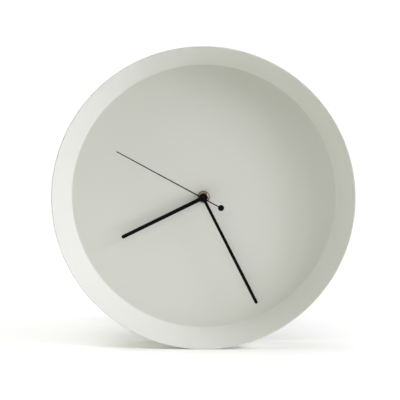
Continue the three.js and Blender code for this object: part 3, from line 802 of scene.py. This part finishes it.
def watch_hand(name, node, body, z_mid, t, tip, half_hub, half_tip, hub_r, bore, collet_r, collet_h, boss_r, boss_h, bevel=0.13):
    angle, reach = tip_and_axis(node, z_mid)
    assert abs(reach - tip) < 0.1, (node, reach)
    y_hit = math.sqrt(hub_r**2 - half_hub**2)
    a_hit = math.degrees(math.atan2(y_hit, half_hub))
    cy = tip - half_tip
    right = arc_pts(0, 0, hub_r, -90, a_hit - 9, 26)
    # small fillet where the blade leaves the hub
    p0, p1 = np.array(right[-1]), np.array([half_hub - 0.01, y_hit + 0.9])
    ctrl = np.array([half_hub + 0.12, y_hit + 0.05])
    for k in (0.33, 0.66):
        right.append(tuple((1 - k) ** 2 * p0 + 2 * k * (1 - k) * ctrl + k * k * p1))
    right.append(tuple(p1))
    for k in np.linspace(0.1, 0.9, 9):
        y = (1 - k) * p1[1] + k * cy
        right.append((half_hub + (half_tip - half_hub) * (y / cy), y))
    right += arc_pts(0, cy, half_tip, 0, 90, 9)
    right[0] = (0.0, -hub_r)
    right[-1] = (0.0, tip)
    shape = outline(right)
    zb, zt = z_mid - t / 2, z_mid + t / 2
    n = 48
    c_bore, c_coll, c_boss = circle(bore, n), circle(collet_r, n), circle(boss_r, n)
    z_low, z_top = z_mid - collet_h, zt + boss_h
    m = Maker()
    m.wall(shape, zb, -0.06, zt, -bevel, n=3)
    m.cap(zt, off(shape, -bevel), [off(c_boss, 0.12)])
    m.wall(c_boss, zt, 0.12, z_top, -0.10, n=3)
    m.cap(z_top, off(c_boss, -0.10), [off(c_bore, 0.08)])
    m.wall(c_bore, z_low, 0.10, z_top, 0.08, n=2)
    m.cap(z_low, off(c_coll, -0.15), [off(c_bore, 0.10)])
    m.wall(c_coll, z_low, -0.15, zb, 0.12, n=3)
    m.cap(zb, off(shape, -0.06), [off(c_coll, 0.12)])
    return m.piece(name, ENAMEL, body, [node], "black_enamel", warp=turn_by(angle), sharp=40)


HOUR_Z = span("hour_hand")[1][2] - 0.25
MINUTE_Z = span("minute_hand")[1][2] - 0.25
watch_hand("hand_hour", "hour_hand", "hours", HOUR_Z, 0.5, 91.0, 2.0, 1.8, 4.1, 2.56, 3.5, 1.6, 3.25, 0.22)
watch_hand("hand_minute", "minute_hand", "minutes", MINUTE_Z, 0.5, 118.5, 1.45, 1.6, 4.0, 1.66, 2.6, 1.7, 3.1, 0.22)

# second hand: fine blade, tail with a disc, and a domed cap pressed over the arbor
SECOND_Z = span("second_hand")[1][2] - 0.6
angle, reach = tip_and_axis("second_hand", SECOND_Z)
assert abs(reach - 97.5) < 0.1, reach
ST, CWR, CWY, TAIL = 0.36, 3.05, -20.0, 0.55
hub = 1.9
y_tail = CWY + math.sqrt(CWR**2 - TAIL**2)
right = arc_pts(0, CWY, CWR, -90, math.degrees(math.atan2(y_tail - CWY, TAIL)) - 3, 30)
right += [(TAIL + 0.03, y_tail + 0.25), (TAIL, y_tail + 0.8)]
y_h = math.sqrt(hub**2 - TAIL**2)
right += [(TAIL, y) for y in np.linspace(y_tail + 3, -y_h - 0.9, 4)] + [(TAIL + 0.04, -y_h - 0.2)]
a_lo = math.degrees(math.atan2(-y_h, TAIL)) + 8
y_b = math.sqrt(hub**2 - 0.6**2)
a_hi = math.degrees(math.atan2(y_b, 0.6)) - 8
right += arc_pts(0, 0, hub, a_lo, a_hi, 16)
right += [(0.66, y_b + 0.2), (0.60, y_b + 0.9)]
right += [(0.6 - 0.1 * k, y_b + 0.9 + (97.0 - y_b - 0.9) * k) for k in np.linspace(0.1, 0.95, 10)]
right += arc_pts(0, 97.0, 0.5, 0, 90, 6)
right[0], right[-1] = (0.0, CWY - CWR), (0.0, 97.5)
shape = outline(right)
zb, zt = SECOND_Z - ST / 2, SECOND_Z + ST / 2
m = Maker()
n = 40
c_cap, c_bore = circle(1.5, n), circle(0.56, n)
z_low, z_top = SECOND_Z - 2.2, SECOND_Z + 0.6
m.wall(shape, zb, -0.04, zt, -0.09, n=2)
m.cap(zt, off(shape, -0.09), [off(c_cap, 0.08)])
# domed cap
rings = [at_z(off(c_cap, 0.08), zt), at_z(off(c_cap, 0.02), zt + 0.02), at_z(c_cap, zt + 0.08)]
for t in np.linspace(0, PI / 2, 7)[:-1]:
    rings.append(at_z(circle(1.18 + 0.32 * math.cos(t), n), z_top - 0.20 + 0.14 * math.sin(t)))
rings.append(at_z(circle(0.72, n), z_top - 0.030))
rings.append(at_z(circle(0.34, n), z_top - 0.006))
m.loft(rings)
m.cap(z_top - 0.006, circle(0.34, n))
m.cap(z_low, off(c_cap, -0.2), [off(c_bore, 0.08)])
m.wall(c_cap, z_low, -0.2, zb, 0.08, n=3)
m.cap(zb, off(shape, -0.04), [off(c_cap, 0.08)])
m.wall(c_bore, z_low, 0.08, SECOND_Z, -0.05, n=2)
m.cap(SECOND_Z, off(c_bore, -0.05))
m.piece("hand_second", ENAMEL, "seconds", ["second_hand"], "black_enamel", warp=turn_by(angle), sharp=40)

# ---------------------------------------------------------------- movement case

lo_c, hi_c = span("movement_front_case")
WALL_T, FLOOR_Z = 1.3, zof(1.5)
OPEN_Z = lo_c[2]
X, YT, YB = hi_c[0], hi_c[1], lo_c[1]
DIV_TOP, DIV_BOTTOM = -15.3, -16.5
POSTS = [(7.5, 14), (2.8, -13.4), (-15.6, 17.6)]
PEGS = [(23.5, -6.2), (8.2, -13.4)]
REVERSE_AT = (8.0, 0.0)
THIRD_AT = (10.2 * math.cos(math.radians(120)), 10.2 * math.sin(math.radians(120)))
INTER_AT = (10.08 * math.cos(math.radians(240)), 10.08 * math.sin(math.radians(240)))
ROTOR_AT = (INTER_AT[0] - 6.72, INTER_AT[1])
_k = span("setting_knob")
KNOB_AT = ((_k[0][0] + _k[1][0]) / 2, (_k[0][1] + _k[1][1]) / 2)

shell = rrect(-X, YB, X, YT, 3.0, 8)
gear_room = rrect(-X + WALL_T, DIV_TOP, X - WALL_T, YT - WALL_T, 1.7, 5)
# the battery bay has slim locating ribs along both long sides
bx0, bx1, by0, by1 = -X + WALL_T, X - WALL_T, YB + WALL_T, DIV_BOTTOM
bay = []
ribs = (-18.0, -6.0, 6.0, 18.0)
for i in range(6):
    a = math.radians(270 + 90 * i / 5)
    bay.append((bx1 - 1.7 + 1.7 * math.cos(a), by0 + 1.7 + 1.7 * math.sin(a)))
for i in range(6):
    a = math.radians(90 * i / 5)
    bay.append((bx1 - 1.7 + 1.7 * math.cos(a), by1 - 1.7 + 1.7 * math.sin(a)))
for x in reversed(ribs):
    bay += [(x + 0.8, by1), (x + 0.45, by1 - 0.5), (x - 0.45, by1 - 0.5), (x - 0.8, by1)]
for i in range(6):
    a = math.radians(90 + 90 * i / 5)
    bay.append((bx0 + 1.7 + 1.7 * math.cos(a), by1 - 1.7 + 1.7 * math.sin(a)))
for i in range(6):
    a = math.radians(180 + 90 * i / 5)
    bay.append((bx0 + 1.7 + 1.7 * math.cos(a), by0 + 1.7 + 1.7 * math.sin(a)))
for x in ribs:
    bay += [(x - 0.8, by0), (x - 0.45, by0 + 0.5), (x + 0.45, by0 + 0.5), (x + 0.8, by0)]
bay = np.array(bay)

m = Maker()
m.wall(shell, OPEN_Z, -0.25, MOVE_FRONT, -0.6, n=4)
m.cap(OPEN_Z, off(shell, -0.25), [off(gear_room, 0.2), off(bay, 0.15)])
m.wall(gear_room, OPEN_Z, 0.2, FLOOR_Z, -0.25, n=3)
m.wall(bay, OPEN_Z, 0.15, FLOOR_Z, -0.12, n=2)
shaft = circle(4.1, 48)
floor_holes = [off(shaft, 0.15)]
for at, r, top in [(p, 1.2, zof(13.05)) for p in POSTS]:
    c = circle(r, 20, at)
    floor_holes.append(off(c, 0.25))
    m.wall(c, FLOOR_Z, 0.25, top, -0.12, n=2)
    m.cap(top, off(c, -0.12))
for at in PEGS:
    c, c2 = circle(1.4, 20, at), circle(0.6, 20, at)
    floor_holes.append(off(c, 0.15))
    m.wall(c, FLOOR_Z, 0.15, zof(7.95), -0.1, n=2)
    m.cap(zof(7.95), off(c, -0.1), [off(c2, 0.05)])
    m.wall(c2, zof(7.95), 0.05, zof(9.5), -0.12, n=2)
    m.cap(zof(9.5), off(c2, -0.12))
c = circle(0.5, 16, REVERSE_AT)
floor_holes.append(off(c, 0.15))
m.wall(c, FLOOR_Z, 0.15, zof(5.7), -0.08, n=2)
m.cap(zof(5.7), off(c, -0.08))
for at, r in ((THIRD_AT, 0.6), (INTER_AT, 0.6), (ROTOR_AT, 0.6), (KNOB_AT, 0.7)):
    c = circle(r, 16, at)
    floor_holes.append(off(c, 0.08))
    m.wall(c, FLOOR_Z, 0.08, zof(0.4), 0, n=2)
    m.cap(zof(0.4), c)
m.cap(FLOOR_Z, off(gear_room, -0.25), floor_holes)
m.cap(FLOOR_Z, off(bay, -0.12))
m.wall(shaft, FLOOR_Z, 0.15, MOVE_FRONT, 0.2, n=2)
m.cap(MOVE_FRONT, off(shell, -0.6), [off(shaft, 0.2)])
m.piece("movement_tray", CASE_BLACK, "case", ["movement_front_case"], "black_plastic", sharp=35)

# Cover: plate with a sunk panel, moulded grooves, a guard ring and a turn mark round the knob, and snap hooks inside.
lo_v, hi_v = span("movement_back_cover")
CO, CI = zof(15.6), zof(14.3)  # outer (wall side) and inner face
plate = rrect(-X, DIV_BOTTOM - 0.1, X, YT, 2.0, 8)
knob_hole = circle(1.25, 28, KNOB_AT)
guard_o, guard_i = circle(7.6, 72, KNOB_AT), circle(6.75, 72, KNOB_AT)
panel = rrect(-24.0, -12.2, 3.0, 14.2, 1.6, 6)
grooves = [rrect(-24.0, y, 3.0, y + 0.9, 0.44, 4) for y in (16.2, 18.2)]
grip = [rrect(x, -13.4, x + 1.0, -11.0, 0.49, 4) for x in (9.5, 11.7, 13.9, 16.1, 18.3, 20.5)]


def curved_arrow(r, w, a0, a1, head):
    """A moulded turn mark: an arc with an arrowhead at each end."""
    outer = [(r + w / 2, a) for a in np.linspace(a0, a1, 20)]
    inner = [(r - w / 2, a) for a in np.linspace(a1, a0, 20)]
    tip1 = [(r + head, a1), (r, a1 + 14), (r - head, a1)]
    tip0 = [(r - head, a0), (r, a0 - 14), (r + head, a0)]
    pts = outer + tip1 + inner + tip0
    return np.array([(KNOB_AT[0] + q * math.cos(math.radians(a)), KNOB_AT[1] + q * math.sin(math.radians(a))) for q, a in pts])


mark = curved_arrow(9.15, 0.5, 150, 236, 0.85)
m = Maker()
m.wall(plate, CO, -0.45, CI, -0.08, n=4)
outer_holes = [off(knob_hole, 0.3), off(guard_o, 0.12), off(panel, 0.12)] + [off(g, 0.1) for g in grooves + grip]
# everything between the guard ring's inside and the knob hole is its own face
outer_face_holes = [off(guard_o, 0.12), off(panel, 0.12), off(mark, 0.05)] + [off(g, 0.1) for g in grooves + grip]
m.cap(CO, off(plate, -0.45), outer_face_holes)
m.wall(guard_o, CO, 0.12, CO - 0.55, -0.15, n=3)
m.cap(CO - 0.55, off(guard_o, -0.15), [off(guard_i, 0.15)])
m.wall(guard_i, CO - 0.55, 0.15, CO, -0.12, n=3)
m.cap(CO, off(guard_i, -0.12), [off(knob_hole, 0.3)])
m.wall(knob_hole, CO, 0.3, CI, 0.1, n=3)
m.wall(mark, CO, 0.05, CO - 0.3, -0.05, n=1)
m.cap(CO - 0.3, off(mark, -0.05))
m.wall(panel, CO, 0.12, CO + 0.4, -0.12, n=2)
m.cap(CO + 0.4, off(panel, -0.12))
for g in grooves + grip:
    m.wall(g, CO, 0.1, CO + 0.35, -0.12, n=2)
    m.cap(CO + 0.35, off(g, -0.12))
hooks = [(rrect(-26.4, 3, -25.2, 8, 0.25, 2), zof(13)), (rrect(25.2, -12, 26.4, -7, 0.25, 2), zof(13)), (rrect(-4, 19.2, 4, 20.4, 0.25, 2), zof(13.95))]
for h, top in hooks:
    m.wall(h, CI, 0.1, top, -0.12, n=2)
    m.cap(top, off(h, -0.12))
m.cap(CI, off(plate, -0.08), [off(knob_hole, 0.1)] + [off(h, 0.1) for h, _ in hooks])
m.piece("movement_cover", CASE_BLACK, "case", ["movement_back_cover"], "black_plastic", sharp=35)

# ---------------------------------------------------------------- setting knob


def gear_outline(teeth, mod, phase, pinion, at):
    pitch = 2 * PI / teeth
    rp = mod * teeth / 2
    ra, rf = rp + (0.72 if pinion else 0.8) * mod, rp - (1.15 if pinion else 1.1) * mod
    tip, root = (0.09, 0.25) if pinion else (0.08, 0.27)
    pts = []
    for i in range(teeth):
        for r, a in ((rf, -root), (ra, -tip), (ra, tip), (rf, root)):
            t = phase + (i + a) * pitch
            pts.append((at[0] + r * math.cos(t), at[1] + r * math.sin(t)))
    return np.array(pts)


def meshed(a, teeth_a, phase_a, b, teeth_b):
    theta = math.atan2(b[1] - a[1], b[0] - a[0])
    pa, pb = 2 * PI / teeth_a, 2 * PI / teeth_b
    da = (theta - phase_a) / pa
    return theta + PI - (0.5 - (da - math.floor(da))) * pb


O = (0.0, 0.0)
M_MOTION = 0.4
reverse_phase = meshed(O, 10, 0.0, REVERSE_AT, 30)
knob_phase = meshed(REVERSE_AT, 30, reverse_phase, KNOB_AT, 12)

N_K = 24 * 12
ang = np.arange(N_K) * 2 * PI / N_K
ridge = np.clip(0.5 + 0.9 * np.cos(ang * 24), 0, 1)


def knob_loop(r, depth):
    rr = r - depth * (1 - ridge)
    return np.c_[KNOB_AT[0] + rr * np.cos(ang), KNOB_AT[1] + rr * np.sin(ang)]


K0, K1 = zof(17.9), zof(15.9)  # wall side and cover side of the knob's disc
rings = []
for r, z, d in (
    (5.30, K1, 0.0), (5.62, K1 - 0.06, 0.05), (5.88, K1 - 0.28, 0.30), (5.98, K1 - 0.5, 0.42), (5.98, K0 + 0.45, 0.42), (5.90, K0 + 0.22, 0.34),
    (5.70, K0 + 0.05, 0.15), (5.42, K0, 0.0), (4.70, K0, 0.0), (4.55, K0 + 0.06, 0.0), (4.46, K0 + 0.45, 0.0), (4.34, K0 + 0.55, 0.0), (1.75, K0 + 0.55, 0.0), (1.62, K0 + 0.5, 0.0), (1.50, K0 + 0.14, 0.0), (1.36, K0 + 0.06, 0.0),
):
    rings.append(at_z(knob_loop(r, d), z))
m = Maker()
m.loft(rings)
m.cap(K0 + 0.06, knob_loop(1.36, 0.0))
stem = circle(1.05, 24, KNOB_AT)
m.cap(K1, knob_loop(5.30, 0.0), [off(stem, 0.15)])
pin_gear = gear_outline(12, M_MOTION, knob_phase, True, KNOB_AT)
g_lo, g_hi = zof(5.6), zof(4.1)
m.wall(stem, K1, 0.15, g_lo, 0, n=3)
m.cap(g_lo, off(pin_gear, -0.04), [stem])
m.wall(pin_gear, g_lo, -0.04, g_hi, -0.04, n=1)
m.cap(g_hi, off(pin_gear, -0.04), [stem])
m.wall(stem, g_hi, 0, zof(1.7), -0.1, n=2)
tip_pin = circle(0.55, 24, KNOB_AT)
m.cap(zof(1.7), off(stem, -0.1), [tip_pin])
m.wall(tip_pin, zof(1.7), 0, zof(0.5), -0.08, n=2)
m.cap(zof(0.5), off(tip_pin, -0.08))
m.piece("knob", KNOB_BLACK, "knob", ["setting_knob"], "black_plastic", sharp=38)

# ---------------------------------------------------------------- battery

lo_a, hi_a = span("battery")
cy_a, cz_a = (lo_a[1] + hi_a[1]) / 2, (lo_a[2] + hi_a[2]) / 2
CELL_R = (hi_a[1] - lo_a[1]) / 2
x_neg, x_pos = lo_a[0], hi_a[0]
L0, L1 = x_neg, x_pos - 1.3  # body ends


def about_x(r, h, a):
    return np.c_[h, cy_a + r * math.cos(a), cz_a + r * math.sin(a)]


def closed_lathe(name, outline_pts, radii, material, n, **kw):
    m = Maker()
    m.lathe(fillet(outline_pts, radii, n=5), n, axis=about_x)
    return m.piece(name, material, "cell", **kw)


# jacket: thin film over the can, rolled a little over both shoulders
closed_lathe(
    "cell_jacket",
    [(CELL_R - 0.9, L0 + 0.02), (CELL_R, L0 + 0.02), (CELL_R, L1 - 0.35), (CELL_R - 1.15, L1 - 0.02), (CELL_R - 1.15, L1 - 0.16), (CELL_R - 0.14, L1 - 0.48), (CELL_R - 0.14, L0 + 0.22), (CELL_R - 0.9, L0 + 0.16)],
    [0.05, 0.55, 0.9, 0.05, 0.05, 0.8, 0.4, 0.05],
    battery_jacket(AX + L0 / 1000, AX + L1 / 1000),
    144,
    nodes=["battery"],
    slot="battery_jacket",
)
# can and terminals: flat negative end with a rolled lip, positive end with its raised button
m = Maker()
can = fillet(
    [
        (0.0, L0 + 0.12), (4.9, L0 + 0.12), (5.3, L0), (CELL_R - 0.75, L0), (CELL_R - 0.18, L0 + 0.5), (CELL_R - 0.18, L1 - 0.85), (CELL_R - 1.0, L1 - 0.36),
        (CELL_R - 1.5, L1 - 0.3), (4.8, L1 - 0.7), (3.2, L1 - 0.55), (2.75, L1 - 0.5), (2.7, x_pos - 0.35), (2.35, x_pos), (0.0, x_pos),
    ],
    [0, 0.15, 0.15, 0.4, 0.3, 0.4, 0.3, 0.25, 0.3, 0.15, 0.2, 0.3, 0.3, 0],
    n=5,
    closed=False,
)
m.turned(can, 120, axis=about_x)
m.piece("cell_can", STEEL, "cell", slot="zinc_steel", sharp=40)

# ---------------------------------------------------------------- CAD nodes that stay, with their finishes

STAY = {
    "gear_bridge": ACETAL,
    "circuit_board": BOARD,
    "driver_chip": RESIN,
    "quartz_crystal": PIPE_STEEL,
    "stator_plate": STEEL,
    "coil_bobbin": ACETAL,
    "coil_winding": COPPER,
    "battery_contact_plus": STEEL,
    "battery_contact_minus": STEEL,
    "rotor_pinion": ACETAL,
    "rotor_magnet": MAGNET,
    "intermediate_wheel": ACETAL,
    "third_wheel": ACETAL,
    "second_wheel": ACETAL,
    "minute_wheel": ACETAL,
    "cannon_pinion": PIPE_STEEL,
    "reverse_wheel": ACETAL,
    "hour_wheel": PIPE_STEEL,
}


def smoothing(limit):
    """A node group that shades a mesh smooth and keeps the edges steeper than limit sharp."""
    t = bpy.data.node_groups.new("smoothing", "GeometryNodeTree")
    t.interface.new_socket("Geometry", in_out="INPUT", socket_type="NodeSocketGeometry")
    t.interface.new_socket("Geometry", in_out="OUTPUT", socket_type="NodeSocketGeometry")
    start, end = t.nodes.new("NodeGroupInput"), t.nodes.new("NodeGroupOutput")
    faces, edges = t.nodes.new("GeometryNodeSetShadeSmooth"), t.nodes.new("GeometryNodeSetShadeSmooth")
    faces.domain, edges.domain = "FACE", "EDGE"
    edges.inputs["Shade Smooth"].default_value = False
    angle = t.nodes.new("GeometryNodeInputMeshEdgeAngle")
    steep = t.nodes.new("FunctionNodeCompare")
    steep.data_type, steep.operation = "FLOAT", "GREATER_THAN"
    steep.inputs[1].default_value = limit
    t.links.new(angle.outputs[0], steep.inputs[0])
    t.links.new(steep.outputs[0], edges.inputs["Selection"])
    t.links.new(start.outputs[0], faces.inputs[0])
    t.links.new(faces.outputs[0], edges.inputs[0])
    t.links.new(edges.outputs[0], end.inputs[0])
    return t


SMOOTHING = smoothing(math.radians(38))
for name, look in STAY.items():
    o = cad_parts[name]
    o.data.materials.clear()
    o.data.materials.append(look)
    # flat faces in one piece, their edges broken by a twentieth of a millimetre
    o.modifiers.new("weld", "WELD").merge_threshold = 1e-7
    flats = o.modifiers.new("flats", "DECIMATE")
    flats.decimate_type, flats.angle_limit = "DISSOLVE", math.radians(0.5)
    edges = o.modifiers.new("edges", "BEVEL")
    edges.limit_method, edges.angle_limit, edges.width, edges.segments = "ANGLE", math.radians(40), 0.00005, 2
    o.modifiers.new("smooth", "NODES").node_group = SMOOTHING
    o.modifiers.new("weighted", "WEIGHTED_NORMAL").keep_sharp = True

# ---------------------------------------------------------------- floor, light and camera

FLOOR_Z_M = CAD_LO.z
bm = bmesh.new()
bmesh.ops.create_circle(bm, cap_ends=True, radius=0.9, segments=128)
mesh = bpy.data.meshes.new("floor")
bm.to_mesh(mesh)
bm.free()
floor = bpy.data.objects.new("floor", mesh)
floor.location = (0, 0, FLOOR_Z_M)
bpy.context.scene.collection.objects.link(floor)
s = Look("floor", Roughness=0.9, **{"Specular_IOR_Level": 0.0})
s.colour(s.mix(s.remap(s.noise(6, 2.0), 0.3, 0.7, 0, 1), (0.900, 0.900, 0.872), (0.915, 0.915, 0.887)))
s.p.inputs["Emission Color"].default_value = (0.97, 1.0, 0.99, 1)
# the floor glows, which is painted light that runs it into the white surround; the glow is dimmed round the clock's
# foot and behind it to the left, painted shade that deepens the shadows there, and a narrow bright strip along the foot
# paints light into the contact shadow
ax = s.axes()


def patch(x, y, wide, deep):
    """A soft elliptical patch of the floor, 1 in its middle."""
    u = s.math("DIVIDE", s.math("SUBTRACT", ax[0], x), wide)
    v = s.math("DIVIDE", s.math("SUBTRACT", ax[1], y), deep)
    return s.math("EXPONENT", s.math("MULTIPLY", s.math("ADD", s.math("MULTIPLY", u, u), s.math("MULTIPLY", v, v)), -1.0))


painted_glow = 0.240
# two dips of the glow paint shade round the foot and behind the clock to the left; the third, positive patch is a
# painted light strip along the foot
for level, x, y, wide, deep in ((-0.295, 0.0185, -0.002, 0.1185, 0.0756), (-0.300, -0.0253, 0.1257, 0.144, 0.0578), (0.300, 0.0165, -0.0193, 0.0932, 0.018)):
    painted_glow = s.math("MULTIPLY_ADD", patch(x, y, wide, deep), level, painted_glow)
s.put(s.p.inputs["Emission Strength"], s.math("MAXIMUM", painted_glow, 0.0))
floor.data.materials.append(s.m)

world = bpy.data.worlds.new("studio")
bpy.context.scene.world = world
world.use_nodes = True
wt = world.node_tree
wt.nodes.clear()
w_out = wt.nodes.new("ShaderNodeOutputWorld")
w_mix = wt.nodes.new("ShaderNodeMixShader")
w_light = wt.nodes.new("ShaderNodeBackground")
w_seen = wt.nodes.new("ShaderNodeBackground")
w_path = wt.nodes.new("ShaderNodeLightPath")
AMBIENT = 0.06
w_light.inputs[0].default_value = (1.0, 1.0, 1.0, 1)
w_light.inputs[1].default_value = AMBIENT
w_seen.inputs[0].default_value = (1, 1, 1, 1)
w_seen.inputs[1].default_value = 1.04
wt.links.new(w_path.outputs["Is Camera Ray"], w_mix.inputs[0])
wt.links.new(w_light.outputs[0], w_mix.inputs[1])
wt.links.new(w_seen.outputs[0], w_mix.inputs[2])
wt.links.new(w_mix.outputs[0], w_out.inputs[0])

CENTRE = Vector(((CAD_LO.x + CAD_HI.x) / 2, CAD_LO.y, (CAD_LO.z + CAD_HI.z) / 2))


def softbox(name, azimuth, elevation, distance, width, height, power, colour=(1, 1, 1)):
    """A rectangular soft light aimed at the clock. azimuth runs from straight in front of the dial towards the right."""
    a, e = math.radians(azimuth), math.radians(elevation)
    d = Vector((math.sin(a) * math.cos(e), -math.cos(a) * math.cos(e), math.sin(e)))
    data = bpy.data.lights.new(name, "AREA")
    data.shape = "RECTANGLE"
    data.size, data.size_y = width, height
    data.energy = power
    data.color = colour
    o = bpy.data.objects.new(name, data)
    bpy.context.scene.collection.objects.link(o)
    o.location = CENTRE + d * distance
    o.rotation_mode = "QUATERNION"
    o.rotation_quaternion = d.to_track_quat("Z", "Y")
    o.visible_camera = False
    return o


# name, azimuth, elevation, distance, width, height, watts, colour
LIGHTS = [
    ("key_high", 76, 26, 2.4, 0.5, 0.5, 17.6, (1.05, 1.0, 1.18)),
    ("key_inner", 66, 26, 2.4, 0.5, 0.5, 9.5, (0.99, 1.0, 0.96)),
    ("key_low", 74, 4, 2.4, 0.5, 0.5, 17.2, (1.03, 1.0, 1.20)),
    ("key_small", 60, 8, 2.4, 0.2, 0.2, 2.4, (1.02, 1.0, 0.88)),
    ("fill_high", -50, 60, 2.6, 1.4, 1.4, 13.3, (1.03, 1.0, 1.17)),
    ("fill_front", -25, 30, 2.6, 1.4, 1.4, 10.5, (1.0, 1.0, 0.77)),
    ("fill_left", -85, 20, 2.6, 1.4, 1.4, 4.7, (0.94, 1.0, 0.78)),
    ("overhead", 0, 88, 2.0, 2.4, 1.6, 12.5, (0.96, 1.0, 0.97)),
    ("rear_high", -120, 60, 2.6, 1.4, 1.4, 18.7, (1.05, 1.0, 1.14)),
    ("rear_left", -150, 45, 2.6, 1.4, 1.4, 7.2, (0.98, 1.0, 0.72)),
]
for entry in LIGHTS:
    softbox(*entry)

# the camera stands a metre and a half off, a little above the hand axis and a little to the right of it
CAM_AT = (28.35, 150.0, 1552.4)
CAM_LOOK = (-0.02075, -0.09950, -0.99482)
cam_data = bpy.data.cameras.new("camera")
cam_data.sensor_width = 36.0
cam_data.lens = 1538.5 / 400 * 36.0
cam = bpy.data.objects.new("camera", cam_data)
bpy.context.scene.collection.objects.link(cam)
cam.location = Vector(row([CAM_AT])[0])
back = Vector((-CAM_LOOK[0], CAM_LOOK[2], -CAM_LOOK[1]))
cam.rotation_mode = "QUATERNION"
cam.rotation_quaternion = back.to_track_quat("Z", "Y")
cam_data.clip_start, cam_data.clip_end = 0.05, 50
bpy.context.scene.camera = cam

bpy.context.scene.view_settings.view_transform = "Standard"
bpy.context.scene.view_settings.look = "None"
